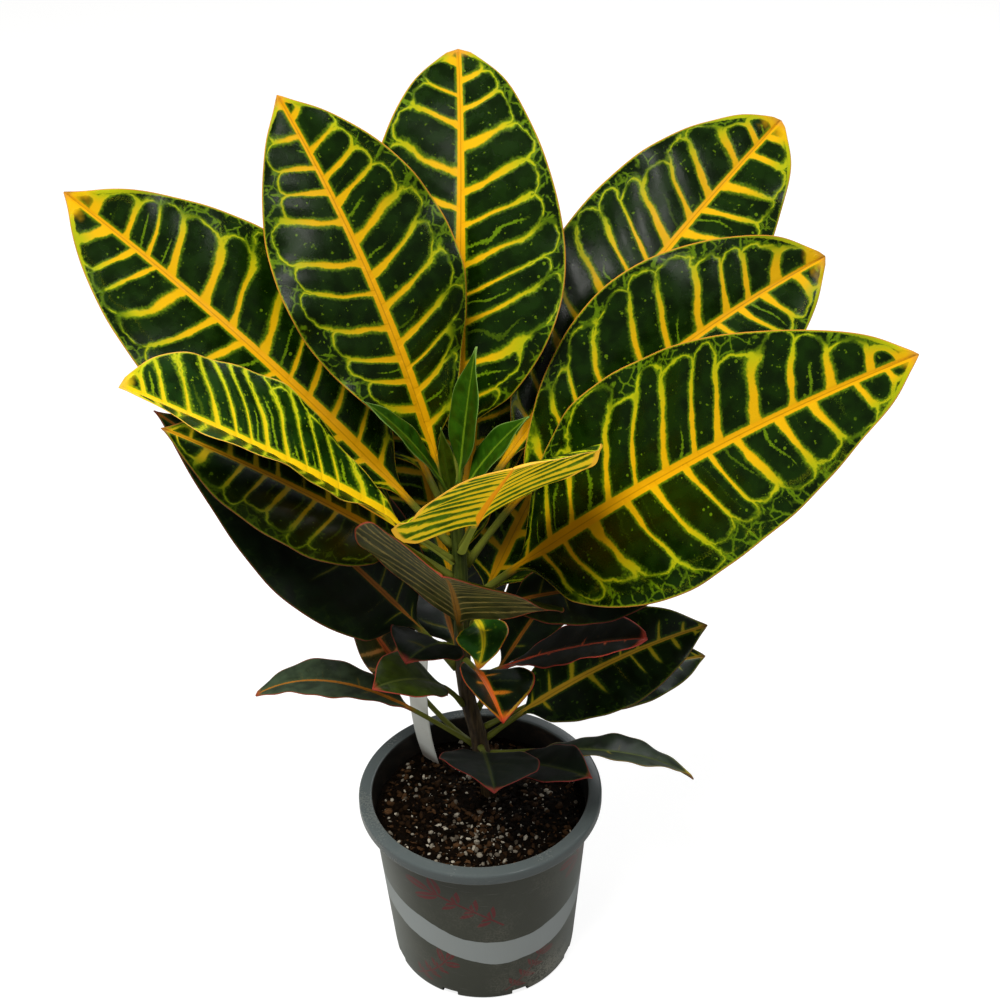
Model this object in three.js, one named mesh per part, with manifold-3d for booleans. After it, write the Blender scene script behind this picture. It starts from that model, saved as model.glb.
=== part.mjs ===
// A croton in its nursery pot: millimetres, +Z up, origin at the centre of the pot's underside.
// The front of the plant faces -Y.

import * as THREE from "three";
import { mergeVertices } from "three/addons/utils/BufferGeometryUtils.js";
import Module from "manifold-3d";

// Driving dimensions

// Clear air between neighbouring solids.
const GAP = 0.3;

const POT = {
  height: 110,
  baseRadius: 50,
  mouthRadius: 59,
  wall: 1.4,
  floor: 2.4,
  footRound: 2,
  lipRadius: 65,
  lipHeight: 6,
  lipRound: 1.6,
  lipFlare: 1,
  sides: 48,
};
const DRAIN = { count: 6, ring: 34, radius: 5, sides: 12 };
const FOOT_NOTCH = { count: 8, width: 9, depth: 5, height: 4 };

const SOIL = {
  top: 98,
  crown: 2.5,
  bottom: POT.floor + GAP,
  rings: 5,
  sides: POT.sides,
  bump: { height: 0.7, across: 0.19, deep: 0.23, shift: 1 },
};

// The stem's centre line, as [height, x, y], and its radius at the foot and at the top.
const STEM_LINE = [
  [66, 7, 9],
  [98, 5, 8],
  [140, 0, 6],
  [178, -6, 4],
  [262, -6.5, 2],
  [303, -8, 1],
];
const STEM = { footRadius: 4.8, topRadius: 3.2, sides: 12, steps: 26 };

// The label's foot is its middle at the soil, as [x, y]. lean: to the left and to the front.
// bow: how far its middle bends to the front left. turn: of its face, about the upright.
const LABEL = {
  width: 14,
  thickness: 1,
  length: 122,
  buried: 20,
  tip: 12,
  corner: 3,
  bow: -5,
  steps: 8,
  foot: [-28, 37.5],
  lean: [-0.5, 9.5],
  turn: -45,
};

const BUD = { radius: 2.8, height: 6.4, fullness: 0.8, offset: [-1, -0.5], rings: 6, sides: 10 };

// Blades are solid plates with a raised midrib below; stalks are round where they leave the stem.
// flatBy, turnedBy, thinBy, swollen: the share of the blade, leaf or stalk over which it changes.
const BLADE = {
  thickness: 0.8,
  ribDepth: 1.4,
  ribReach: 0.5,
  ribFade: 0.7,
  flatBy: 0.14,
  turnedBy: 0.12,
  fold: [10, 10],
  waveShift: 2,
  waveFull: 0.23,
  stepLength: 13,
  steps: [7, 17],
};
const STALK = {
  base: 1,
  perWidth: 0.009,
  swelling: 0.25,
  swollen: 0.5,
  thinning: 0.45,
  thinBy: 0.5,
  steps: 3,
  short: 10,
};

// Leaves, in millimetres and degrees. node: height on the stem. heading: 0 is +X, 90 is the back.
// rise: angle above level at the stem, midway and at the tip. stalk, length, width: of the leaf.
// roll: turn about the midrib at the blade's foot and tip. fold: how far the two wings stand up.
// swerve: sideways bend by the tip. outline: place of the widest point, then how quickly the
// blade widens at its foot and narrows at its tip (smaller is fuller). wave: height, count, phase.
const LEAVES = [
  {
    name: "leaf_top_middle",
    node: 291, heading: 84, rise: [68, 60, 50], stalk: 26, length: 190, width: 100,
    fold: [6, 6], swerve: 8, outline: [0.46, 1.1, 0.5], wave: [2, 2.5, 0.2],
  },
  {
    name: "leaf_top_left",
    node: 284, heading: 146, rise: [78, 66, 55], stalk: 28, length: 187, width: 86,
    roll: [-25, -40], outline: [0.54, 0.95, 0.8], wave: [2, 3, 0.6],
  },
  {
    name: "leaf_top_right",
    node: 281, heading: 40, rise: [41, 35, 27], stalk: 30, length: 228, width: 92,
    roll: [30, 42], outline: [0.55, 1, 0.6], wave: [2.5, 3, 0],
  },
  {
    name: "leaf_top_left_behind",
    node: 275, heading: 128, rise: [52, 37, 23], stalk: 28, length: 158, width: 80,
    roll: [-20, -30], outline: [0.52, 0.9, 0.7], wave: [2, 2.5, 0.4],
  },
  {
    name: "leaf_upper_left",
    node: 267, heading: 165, rise: [50, 44, 37], stalk: 30, length: 216, width: 94,
    roll: [-28, -45], outline: [0.54, 0.85, 0.85], wave: [2, 3, 0.1],
  },
  {
    name: "leaf_upper_right",
    node: 256, heading: 18, rise: [54, 35, 20], stalk: 34, length: 196, width: 90,
    roll: [42, 56], outline: [0.55, 1.15, 0.65], wave: [2, 3, 0.5],
  },
  {
    name: "leaf_right",
    node: 234, heading: 341, rise: [47, 42, 33], stalk: 32, length: 234, width: 108,
    roll: [48, 60], fold: [5, 5], outline: [0.42, 1.1, 0.7], wave: [2, 3, 0.3],
  },
  {
    name: "leaf_left_folded",
    node: 260, heading: 200, rise: [48, 42, 36], stalk: 26, length: 170, width: 78,
    fold: [16, 35], outline: [0.6, 0.9, 0.55], wave: [1.5, 2.5, 0.7],
  },
  {
    name: "leaf_left_middle",
    node: 249, heading: 184, rise: [42, 36, 30], stalk: 28, length: 134, width: 72,
    roll: [-20, -35], outline: [0.44, 0.8, 0.9], wave: [1.5, 2, 0.2],
  },
  {
    name: "leaf_left_lower",
    node: 190, heading: 171, rise: [54, 45, 37], stalk: 28, length: 174, width: 78,
    roll: [-30, -45], outline: [0.38, 0.8, 1], wave: [1.5, 2, 0.9],
  },
  {
    name: "leaf_front_upper",
    node: 268, heading: 293, rise: [58, 50, 38], stalk: 32, length: 106, width: 100,
    roll: [16, 24], fold: [-12, 8], swerve: -20, outline: [0.5, 0.5, 0.4], wave: [2, 2, 0],
  },
  {
    name: "leaf_front_lower",
    node: 213, heading: 268, rise: [60, 48, 36], stalk: 22, length: 135, width: 104,
    roll: [-12, -30], outline: [0.5, 0.9, 0.9], wave: [1.5, 2, 0.5],
  },
  {
    name: "leaf_back_upper",
    node: 240, heading: 80, rise: [66, 50, 38], stalk: 24, length: 160, width: 72,
    outline: [0.52, 0.9, 0.7], wave: [2, 2.5, 0.3],
  },
  {
    name: "leaf_back_left",
    node: 216, heading: 106, rise: [50, 36, 20], stalk: 24, length: 160, width: 80,
    roll: [-10, -20], outline: [0.45, 0.75, 0.7], wave: [2, 2.5, 0.8],
  },
  {
    name: "leaf_back_right",
    node: 206, heading: 58, rise: [42, 28, 15], stalk: 24, length: 170, width: 88,
    roll: [10, 20], outline: [0.42, 0.7, 0.7], wave: [2, 2.5, 0.1],
  },
  {
    name: "leaf_back_low_left",
    node: 172, heading: 103, rise: [26, 10, -6], stalk: 24, length: 120, width: 84,
    roll: [0, -6], outline: [0.45, 0.8, 0.7], wave: [1.5, 2.5, 0.6],
  },
  {
    name: "leaf_back_low_right",
    node: 158, heading: 47, rise: [45, 28, 0], stalk: 22, length: 120, width: 50,
    outline: [0.5, 0.9, 0.7], wave: [1.5, 2, 0.4],
  },
  {
    name: "leaf_right_under",
    node: 224, heading: 342, rise: [36, 20, 6], stalk: 22, length: 88, width: 42,
    roll: [20, 40], outline: [0.5, 0.9, 0.7], wave: [1, 2, 0],
  },
  {
    name: "leaf_right_curled",
    node: 183, heading: 335, rise: [40, 33, 20], stalk: 20, length: 90, width: 36,
    roll: [0, 5], outline: [0.6, 0.9, 0.5], wave: [1, 2, 0.5],
  },
  {
    name: "leaf_front_left_dark",
    node: 203, heading: 233, rise: [60, 28, -10], stalk: 16, length: 32, width: 44,
    outline: [0.5, 0.9, 0.8], wave: [1, 1.5, 0],
  },
  {
    name: "leaf_front_small",
    node: 227, heading: 300, rise: [34, -2, -55], stalk: 12, length: 31, width: 27,
    roll: [10, 20], swerve: -68, outline: [0.5, 0.9, 0.8], wave: [1, 1.5, 0.3],
  },
  {
    name: "leaf_front_orange",
    node: 198, heading: 292, rise: [22, 1, -34], stalk: 14, length: 37, width: 48,
    roll: [5, 10], fold: [0, 58], outline: [0.5, 0.9, 0.9], wave: [1, 1.5, 0.6],
  },
  {
    name: "leaf_low_right",
    node: 140, heading: 6, rise: [40, 31, 14], stalk: 22, length: 110, width: 55,
    roll: [20, 45], outline: [0.48, 0.75, 0.8], wave: [1, 2.5, 0],
  },
  {
    name: "leaf_low_right_behind",
    node: 146, heading: 26, rise: [12, -4, -14], stalk: 24, length: 114, width: 45,
    roll: [20, 30], outline: [0.5, 0.9, 0.8], wave: [1, 2, 0.5],
  },
  {
    name: "leaf_low_right_drooping",
    node: 129, heading: 354, rise: [6, 17, -42], stalk: 22, length: 90, width: 30,
    roll: [-10, -22], outline: [0.55, 0.9, 0.6], wave: [1, 2, 0.2],
  },
  {
    name: "leaf_low_left_drooping",
    node: 134, heading: 155, rise: [18, 29, -30], stalk: 36, length: 91, width: 30,
    swerve: 36, outline: [0.55, 0.9, 0.6], wave: [1, 2, 0.7],
  },
  {
    name: "leaf_low_left_steep",
    node: 131, heading: 137, rise: [6, 48, 66], stalk: 40, length: 74, width: 50,
    roll: [-30, -45], fold: [55, 8], swerve: 26, outline: [0.5, 0.9, 0.8], wave: [1, 2, 0.1],
  },
  {
    name: "leaf_low_left_small",
    node: 168, heading: 228, rise: [62, 42, 12], stalk: 22, length: 60, width: 36,
    roll: [-10, -20], outline: [0.5, 0.9, 0.8], wave: [1, 1.5, 0.4],
  },
  {
    name: "leaf_low_front",
    node: 137, heading: 277, rise: [34, 24, 8], stalk: 14, length: 52, width: 52,
    roll: [-8, -12], outline: [0.5, 0.9, 0.9], wave: [1, 1.5, 0.8],
  },
  {
    name: "leaf_low_front_right",
    node: 125, heading: 324, rise: [28, 20, 8], stalk: 14, length: 54, width: 34,
    outline: [0.5, 0.9, 0.9], wave: [1, 1.5, 0.2],
  },
  {
    name: "crown_leaf_left",
    node: 301, heading: 206, rise: [68, 58, 46], stalk: 6, length: 68, width: 15,
    roll: [-25, -35], outline: [0.45, 1, 1], wave: [0, 1, 0],
  },
  {
    name: "crown_leaf_front",
    node: 297, heading: 258, rise: [66, 76, 72], stalk: 5, length: 50, width: 8,
    outline: [0.45, 1, 1], wave: [0, 1, 0],
  },
  {
    name: "crown_leaf_tall",
    node: 302, heading: 40, rise: [84, 80, 76], stalk: 6, length: 66, width: 20,
    outline: [0.45, 1, 1], wave: [0, 1, 0],
  },
  {
    name: "crown_leaf_right",
    node: 299, heading: 338, rise: [64, 57, 46], stalk: 6, length: 56, width: 17,
    roll: [35, 45], outline: [0.45, 1, 1], wave: [0, 1, 0],
  },
];

// Materials

const greenLeaf = new THREE.MeshStandardMaterial({ color: 0x2f4a16, roughness: 0.4, metalness: 0 });
const goldLeaf = new THREE.MeshStandardMaterial({ color: 0x8d8a1c, roughness: 0.4, metalness: 0 });
const darkLeaf = new THREE.MeshStandardMaterial({ color: 0x1d2a14, roughness: 0.35, metalness: 0 });
const youngLeaf = new THREE.MeshStandardMaterial({ color: 0x3f6a1a, roughness: 0.45, metalness: 0 });
const bark = new THREE.MeshStandardMaterial({ color: 0x5a4630, roughness: 0.8, metalness: 0 });
const peat = new THREE.MeshStandardMaterial({ color: 0x2c1d15, roughness: 1, metalness: 0 });
const potPlastic = new THREE.MeshStandardMaterial({ color: 0x5c5b52, roughness: 0.6, metalness: 0 });
const whitePlastic = new THREE.MeshStandardMaterial({ color: 0xdfe2e0, roughness: 0.5, metalness: 0 });

function leafMaterial(name) {
  if (name.startsWith("crown")) return youngLeaf;
  if (name === "leaf_left_folded" || name === "leaf_front_upper") return goldLeaf;
  return name.includes("low") || name.includes("front") || name.includes("under") ? darkLeaf : greenLeaf;
}

// Small helpers

const radians = THREE.MathUtils.degToRad;
const mix = THREE.MathUtils.lerp;
const smooth = (x) => THREE.MathUtils.smoothstep(x, 0, 1);

function addMesh(group, name, geometry, material) {
  const mesh = new THREE.Mesh(geometry, material);
  mesh.name = name;
  group.add(mesh);
  return mesh;
}

const wasm = await Module();
wasm.setup();

function toSolid(geometry) {
  const bare = geometry.clone();
  bare.deleteAttribute("normal");
  bare.deleteAttribute("uv");
  const merged = mergeVertices(bare, 1e-4);
  return new wasm.Manifold(
    new wasm.Mesh({
      numProp: 3,
      vertProperties: new Float32Array(merged.attributes.position.array),
      triVerts: new Uint32Array(merged.index.array),
    })
  );
}

function toGeometry(solid) {
  const mesh = solid.getMesh();
  const geometry = new THREE.BufferGeometry();
  geometry.setAttribute("position", new THREE.BufferAttribute(mesh.vertProperties, 3));
  geometry.setIndex(new THREE.BufferAttribute(mesh.triVerts, 1));
  geometry.computeVertexNormals();
  return geometry;
}

// A closed skin through rings of points that all have the same number of points.
// Rings run anticlockwise seen from the end they lead to.
function skinOf(rings, splitsBack) {
  const count = rings[0].length;
  const positions = rings.flat().flatMap((point) => [point.x, point.y, point.z]);
  const faces = [];
  for (let i = 0; i < rings.length - 1; i += 1) {
    const near = i * count;
    const far = near + count;
    for (let j = 0; j < count; j += 1) {
      const k = (j + 1) % count;
      if (splitsBack(j)) {
        faces.push(near + j, near + k, far + k, near + j, far + k, far + j);
      } else {
        faces.push(near + j, near + k, far + j, near + k, far + k, far + j);
      }
    }
  }
  const ends = [rings[0], rings[rings.length - 1]];
  ends.forEach((ring, end) => {
    const middle = new THREE.Vector3();
    ring.forEach((point) => middle.addScaledVector(point, 1 / count));
    const hub = positions.length / 3;
    positions.push(middle.x, middle.y, middle.z);
    const first = end === 0 ? 0 : (rings.length - 1) * count;
    for (let j = 0; j < count; j += 1) {
      const k = (j + 1) % count;
      if (end === 0) faces.push(hub, first + k, first + j);
      else faces.push(hub, first + j, first + k);
    }
  });
  const geometry = new THREE.BufferGeometry();
  geometry.setAttribute("position", new THREE.Float32BufferAttribute(positions, 3));
  geometry.setIndex(faces);
  geometry.computeVertexNormals();
  return geometry;
}

// Pot: one moulded shell with a rolled lip, holes in its floor and notches in its foot.

function wallRadius(z) {
  return mix(POT.baseRadius, POT.mouthRadius, z / POT.height);
}

function makePot() {
  const { height, wall, floor, footRound, lipRadius, lipHeight, lipRound, lipFlare } = POT;
  const underLip = height - lipHeight;
  const profile = [
    [0, 0],
    [POT.baseRadius - footRound, 0],
    [POT.baseRadius, footRound],
    [wallRadius(underLip), underLip],
    [lipRadius - lipRound, underLip - lipFlare],
    [lipRadius, underLip - lipFlare + lipRound],
    [lipRadius, height - lipRound],
    [lipRadius - lipRound, height],
    [wallRadius(height) - wall + lipRound, height],
    [wallRadius(height) - wall, height - lipRound],
    [wallRadius(floor) - wall, floor],
    [0, floor],
  ].map(([r, z]) => new THREE.Vector2(r, z));
  const shell = new THREE.LatheGeometry(profile, POT.sides).rotateX(Math.PI / 2);
  let pot = toSolid(shell);
  for (let i = 0; i < DRAIN.count; i += 1) {
    const angle = (2 * Math.PI * i) / DRAIN.count;
    const hole = new THREE.CylinderGeometry(DRAIN.radius, DRAIN.radius, 3 * floor, DRAIN.sides)
      .rotateX(Math.PI / 2)
      .translate(DRAIN.ring * Math.cos(angle), DRAIN.ring * Math.sin(angle), 0);
    pot = pot.subtract(toSolid(hole));
  }
  for (let i = 0; i < FOOT_NOTCH.count; i += 1) {
    const angle = (2 * Math.PI * (i + 0.5)) / FOOT_NOTCH.count;
    const notch = new THREE.BoxGeometry(2 * FOOT_NOTCH.depth, FOOT_NOTCH.width, 2 * FOOT_NOTCH.height)
      .translate(POT.baseRadius, 0, 0)
      .rotateZ(angle);
    pot = pot.subtract(toSolid(notch));
  }
  return toGeometry(pot);
}

// Stem: a tapered tube with a foot in the soil.

const stemFoot = STEM_LINE[0][0];
const stemTop = STEM_LINE[STEM_LINE.length - 1][0];
const stemCurve = new THREE.CatmullRomCurve3(
  STEM_LINE.map(([z, x, y]) => new THREE.Vector3(x, y, z)),
  false,
  "centripetal"
);

function stemAt(height) {
  const halvings = 24;
  let low = 0;
  let high = 1;
  for (let i = 0; i < halvings; i += 1) {
    const middle = (low + high) / 2;
    if (stemCurve.getPoint(middle).z < height) low = middle;
    else high = middle;
  }
  return stemCurve.getPoint((low + high) / 2);
}

function stemRadius(height) {
  const part = THREE.MathUtils.clamp((height - stemFoot) / (stemTop - stemFoot), 0, 1);
  return mix(STEM.footRadius, STEM.topRadius, part);
}

function makeStem(extra) {
  const rings = [];
  for (let i = 0; i <= STEM.steps; i += 1) {
    const height = mix(stemFoot - extra, stemTop, i / STEM.steps);
    const centre = stemAt(height);
    const radius = stemRadius(height) + extra;
    const ring = [];
    for (let j = 0; j < STEM.sides; j += 1) {
      const angle = (2 * Math.PI * j) / STEM.sides;
      const x = centre.x + radius * Math.cos(angle);
      const y = centre.y + radius * Math.sin(angle);
      ring.push(new THREE.Vector3(x, y, height));
    }
    rings.push(ring);
  }
  return skinOf(rings, () => true);
}

// Plant label: a strip with a pointed foot and clipped corners, bowed between soil and leaves.

function makeLabel(extra) {
  const { width, thickness, length, buried, tip, corner, bow, steps } = LABEL;
  const head = length - buried;
  const heights = [-buried - extra, tip - buried];
  for (let i = 0; i <= steps; i += 1) heights.push(mix(0, head - corner, i / steps));
  heights.push(head);
  const rings = heights.map((z) => {
    const point = width * Math.min(1, (z + buried + extra) / tip);
    const half = Math.max(point, thickness) / 2 - Math.max(0, z + corner - head) + extra;
    const share = z / head;
    const middle = 4 * bow * (share - Math.max(0, share) ** 2);
    const [front, rear] = [middle - thickness / 2 - extra, middle + thickness / 2 + extra];
    const corners = [[-half, front], [half, front], [half, rear], [-half, rear]];
    return corners.map(([x, y]) => new THREE.Vector3(x, y, z));
  });
  return skinOf(rings, () => true)
    .rotateZ(radians(LABEL.turn))
    .rotateY(radians(LABEL.lean[0]))
    .rotateX(radians(LABEL.lean[1]))
    .translate(LABEL.foot[0], LABEL.foot[1], SOIL.top);
}

// Soil: fills the pot, slightly crowned and uneven, with holes for the stem and the label.

function makeSoil() {
  const rings = [];
  const ringAt = (radius, height) => {
    const ring = [];
    for (let j = 0; j < SOIL.sides; j += 1) {
      const angle = (2 * Math.PI * j) / SOIL.sides;
      const x = radius * Math.cos(angle);
      const y = radius * Math.sin(angle);
      ring.push(new THREE.Vector3(x, y, height(x, y)));
    }
    return ring;
  };
  const bottomRadius = wallRadius(SOIL.bottom) - POT.wall - GAP;
  const topRadius = wallRadius(SOIL.top) - POT.wall - GAP;
  const { bump } = SOIL;
  const surface = (x, y) => {
    const crown = SOIL.crown * ((x * x + y * y) / topRadius ** 2);
    const lump = bump.height * Math.sin(bump.across * x + bump.shift) * Math.cos(bump.deep * y);
    return SOIL.top - crown + lump;
  };
  rings.push(ringAt(bottomRadius / 2, () => SOIL.bottom));
  rings.push(ringAt(bottomRadius, () => SOIL.bottom));
  for (let i = 0; i < SOIL.rings; i += 1) {
    rings.push(ringAt(mix(topRadius, 0, i / SOIL.rings), surface));
  }
  return toGeometry(
    toSolid(skinOf(rings, () => true))
      .subtract(toSolid(makeStem(GAP)))
      .subtract(toSolid(makeLabel(GAP)))
  );
}

// Leaves: a lofted solid from the round stalk to the thin blade.

const ACROSS = [-1, -0.5, 0, 0.5, 1];

function stalkRadius(leaf) {
  return STALK.base + STALK.perWidth * leaf.width;
}

function bladeHalfWidth(leaf, t) {
  const [peak, foot, tip] = leaf.outline;
  if (t <= 0 || t >= 1) return 0;
  const skew = Math.log(0.5) / Math.log(peak);
  return (leaf.width / 2) * Math.sin(Math.PI * t ** skew) ** mix(foot, tip, t);
}

// Where the midrib runs: points and directions at even steps from the stem to the tip.
function midrib(leaf, steps) {
  const total = leaf.stalk + leaf.length;
  const heading = radians(leaf.heading);
  const point = stemAt(leaf.node);
  const outward = new THREE.Vector3(Math.cos(heading), Math.sin(heading), 0);
  const slant = Math.abs(stemAt(leaf.node + 1).sub(point).dot(outward));
  const reach = stemRadius(leaf.node) + GAP + slant * stalkRadius(leaf);
  point.addScaledVector(outward, reach);
  const line = [];
  for (let i = 0; i <= steps; i += 1) {
    const s = i / steps;
    const [low, middle, high] = leaf.rise;
    const rise = radians((1 - s) ** 2 * low + 2 * s * (1 - s) * middle + s * s * high);
    const turn = heading + radians((leaf.swerve ?? 0) * s * s);
    const along = new THREE.Vector3(
      Math.cos(rise) * Math.cos(turn),
      Math.cos(rise) * Math.sin(turn),
      Math.sin(rise)
    );
    line.push({ point: point.clone(), along, side: new THREE.Vector3(-Math.sin(turn), Math.cos(turn), 0) });
    point.addScaledVector(along, total / steps);
  }
  return line;
}

function leafRing(leaf, t, spot) {
  const [rollFoot, rollTip] = leaf.roll ?? [0, 0];
  const [foldLeft, foldRight] = leaf.fold ?? BLADE.fold;
  const [waveHeight, waveCount, wavePhase] = leaf.wave;
  const onBlade = Math.max(t, 0);
  const onStalk = 1 + Math.min(t, 0);
  const fromStem = (leaf.stalk * onStalk + leaf.length * onBlade) / (leaf.stalk + leaf.length);
  const lift = new THREE.Vector3().crossVectors(spot.along, spot.side);
  const roll = radians(mix(rollFoot, rollTip, onBlade)) * smooth(fromStem / BLADE.turnedBy);
  const side = spot.side.clone().multiplyScalar(Math.cos(roll)).addScaledVector(lift, Math.sin(roll));
  const up = lift.multiplyScalar(Math.cos(roll)).addScaledVector(spot.side, -Math.sin(roll));
  const flat = smooth(onBlade / BLADE.flatBy);
  const radius = stalkRadius(leaf) * (1 - STALK.thinning * smooth(onBlade / STALK.thinBy));
  const halfWidth = bladeHalfWidth(leaf, onBlade);
  const reach = Math.max(halfWidth, radius);
  const ripple = waveHeight * Math.min(1, halfWidth / (BLADE.waveFull * leaf.width));
  const swell = 1 + STALK.swelling * (1 - smooth(onStalk / STALK.swollen));
  const roundUp = onStalk === 0 ? new THREE.Vector3(0, 0, 1) : up;
  const top = [];
  const under = [];
  ACROSS.forEach((q, j) => {
    const fold = radians(q > 0 ? foldLeft : foldRight) * flat;
    const phase = 2 * Math.PI * (waveCount * onBlade + wavePhase) + (q > 0 ? 0 : BLADE.waveShift);
    const outward = reach * Math.cos(fold) * q;
    const raised = reach * Math.sin(fold) * Math.abs(q) + flat * ripple * q * q * Math.sin(phase);
    const plate = spot.point.clone().addScaledVector(side, outward).addScaledVector(up, raised);
    const ribDepth = BLADE.ribDepth * (1 - BLADE.ribFade * onBlade);
    const rib = ribDepth * Math.max(0, 1 - Math.abs(q) / BLADE.ribReach);
    const angle = (Math.PI * (j + 0.5)) / ACROSS.length;
    const outOnRound = -Math.cos(angle) * radius * swell;
    const upOnRound = Math.sin(angle) * radius * swell;
    const round = spot.point.clone().addScaledVector(side, outOnRound);
    top.push(
      round
        .clone()
        .addScaledVector(roundUp, upOnRound)
        .lerp(plate.clone().addScaledVector(up, BLADE.thickness / 2), flat)
    );
    under.push(
      round
        .clone()
        .addScaledVector(roundUp, -upOnRound)
        .lerp(plate.clone().addScaledVector(up, -BLADE.thickness / 2 - rib), flat)
    );
  });
  return [...under, ...top.reverse()];
}

function makeLeaf(leaf) {
  const stalkSteps = leaf.stalk > STALK.short ? STALK.steps : 1;
  const bladeSteps = Math.round(THREE.MathUtils.clamp(leaf.length / BLADE.stepLength, ...BLADE.steps));
  const finePoints = 120;
  const line = midrib(leaf, finePoints);
  const rings = [];
  for (let i = -stalkSteps; i <= bladeSteps; i += 1) {
    const t = i < 0 ? i / stalkSteps : i / bladeSteps;
    const travelled = i < 0 ? leaf.stalk * (1 + t) : leaf.stalk + leaf.length * t;
    const place = (finePoints * travelled) / (leaf.stalk + leaf.length);
    const before = Math.min(Math.floor(place), finePoints - 1);
    const part = place - before;
    const spot = {
      point: line[before].point.clone().lerp(line[before + 1].point, part),
      along: line[before].along.clone().lerp(line[before + 1].along, part).normalize(),
      side: line[before].side.clone().lerp(line[before + 1].side, part).normalize(),
    };
    rings.push(leafRing(leaf, t, spot));
  }
  const last = ACROSS.length - 1;
  const splitsBack = (j) => j < last || j === 2 * last + 1;
  return skinOf(rings, splitsBack);
}

// Bud: a small pointed egg on top of the stem.

function makeBud() {
  const profile = [];
  for (let i = 0; i <= BUD.rings; i += 1) {
    const angle = (Math.PI * i) / BUD.rings;
    const atPole = i === 0 || i === BUD.rings;
    const radius = atPole ? 0 : BUD.radius * Math.sin(angle) ** BUD.fullness;
    profile.push(new THREE.Vector2(radius, (BUD.height / 2) * (1 - Math.cos(angle))));
  }
  const top = stemAt(stemTop);
  return new THREE.LatheGeometry(profile, BUD.sides)
    .rotateX(Math.PI / 2)
    .translate(top.x + BUD.offset[0], top.y + BUD.offset[1], top.z + GAP);
}

const croton = new THREE.Group();
addMesh(croton, "pot", makePot(), potPlastic);
addMesh(croton, "soil", makeSoil(), peat);
addMesh(croton, "stem", makeStem(0), bark);
addMesh(croton, "plant_label", makeLabel(0), whitePlastic);
addMesh(croton, "crown_bud", makeBud(), youngLeaf);
for (const leaf of LEAVES) addMesh(croton, leaf.name, makeLeaf(leaf), leafMaterial(leaf.name));

export default croton;
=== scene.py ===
# %% [markdown]
# # A potted croton
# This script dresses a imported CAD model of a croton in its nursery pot. A croton is known by its
# leaves: stiff, waxy plates of dark green, drawn over with a golden net of veins. Most of the work
# below goes into that net. The CAD model says where every leaf stands, so nothing is placed by eye:
# each leaf is made again from the same few numbers, only with a finer mesh.

# %% The frame
import math

import bmesh
import bpy
import numpy as np
from mathutils import Matrix, Vector


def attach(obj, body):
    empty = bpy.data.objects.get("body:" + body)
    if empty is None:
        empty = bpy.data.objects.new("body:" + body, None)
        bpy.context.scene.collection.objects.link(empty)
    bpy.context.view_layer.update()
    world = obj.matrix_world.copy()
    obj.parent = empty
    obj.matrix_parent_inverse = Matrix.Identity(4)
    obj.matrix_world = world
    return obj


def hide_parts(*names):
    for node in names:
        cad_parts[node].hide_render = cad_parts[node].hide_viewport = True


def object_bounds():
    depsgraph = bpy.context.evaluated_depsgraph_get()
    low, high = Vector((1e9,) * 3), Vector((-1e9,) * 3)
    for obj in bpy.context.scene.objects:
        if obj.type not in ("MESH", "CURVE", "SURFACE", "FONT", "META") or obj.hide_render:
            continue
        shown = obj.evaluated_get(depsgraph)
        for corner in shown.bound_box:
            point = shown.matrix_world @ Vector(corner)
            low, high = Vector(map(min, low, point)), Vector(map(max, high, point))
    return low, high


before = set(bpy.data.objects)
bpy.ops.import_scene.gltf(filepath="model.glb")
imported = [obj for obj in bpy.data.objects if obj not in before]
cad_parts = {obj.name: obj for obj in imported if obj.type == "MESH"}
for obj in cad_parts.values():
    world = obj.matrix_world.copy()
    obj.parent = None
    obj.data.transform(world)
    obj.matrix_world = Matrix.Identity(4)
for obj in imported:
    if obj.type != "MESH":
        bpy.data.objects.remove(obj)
cad_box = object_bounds()
corners = [tuple(round(v, 3) for v in corner) for corner in cad_box]
print("CAD nodes:", len(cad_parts), "box:", corners)

# %% [markdown]
# ## Camera
# The plant is seen from the front and well above, as by somebody who stands at a table. The angle
# comes from the pot: its rim is a circle, and how flat that circle looks gives the height of the
# eye. A long lens keeps the pot's sides from leaning in too much.

# %% Camera
AIM = Vector((0.0138, 0.0, 0.2955))
EYE_HEIGHT_ANGLE = math.radians(34.2)
EYE_DISTANCE = 0.85
EYE_TILT = math.radians(-1.2)
SENSOR_WIDTH, LENS = 36.0, 64.2

back = Vector((0.0, -math.cos(EYE_HEIGHT_ANGLE), math.sin(EYE_HEIGHT_ANGLE)))
level = Vector((1.0, 0.0, 0.0))
upright = back.cross(level)
right = level * math.cos(EYE_TILT) + upright * math.sin(EYE_TILT)
above = upright * math.cos(EYE_TILT) - level * math.sin(EYE_TILT)
camera_data = bpy.data.cameras.new("plant_camera")
camera_data.sensor_width = SENSOR_WIDTH
camera_data.lens = LENS
camera = bpy.data.objects.new("plant_camera", camera_data)
place = Matrix((right, above, back)).transposed().to_4x4()
place.translation = AIM + back * EYE_DISTANCE
camera.matrix_world = place
bpy.context.scene.collection.objects.link(camera)
bpy.context.scene.camera = camera
print("camera at", tuple(round(v, 3) for v in place.translation))

# %% [markdown]
# ## Light and floor
# Waxy leaves show what lights them, so the lights are large and soft. The main one hangs high in
# front of the plant, and lets the upper leaves shade the lower ones. A weaker one behind gives the
# leaf edges a rim of light. The floor is a pale sheet, far larger than the picture.

# %% Light and floor
def soft_light(name, place, aim, size, power, tint, glossy):
    data = bpy.data.lights.new(name, "AREA")
    data.size = size
    data.energy = power
    data.color = tint
    lamp = bpy.data.objects.new(name, data)
    lamp.location = place
    lamp.rotation_euler = (Vector(place) - Vector(aim)).to_track_quat("Z", "Y").to_euler()
    lamp.visible_glossy = glossy
    bpy.context.scene.collection.objects.link(lamp)


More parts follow.
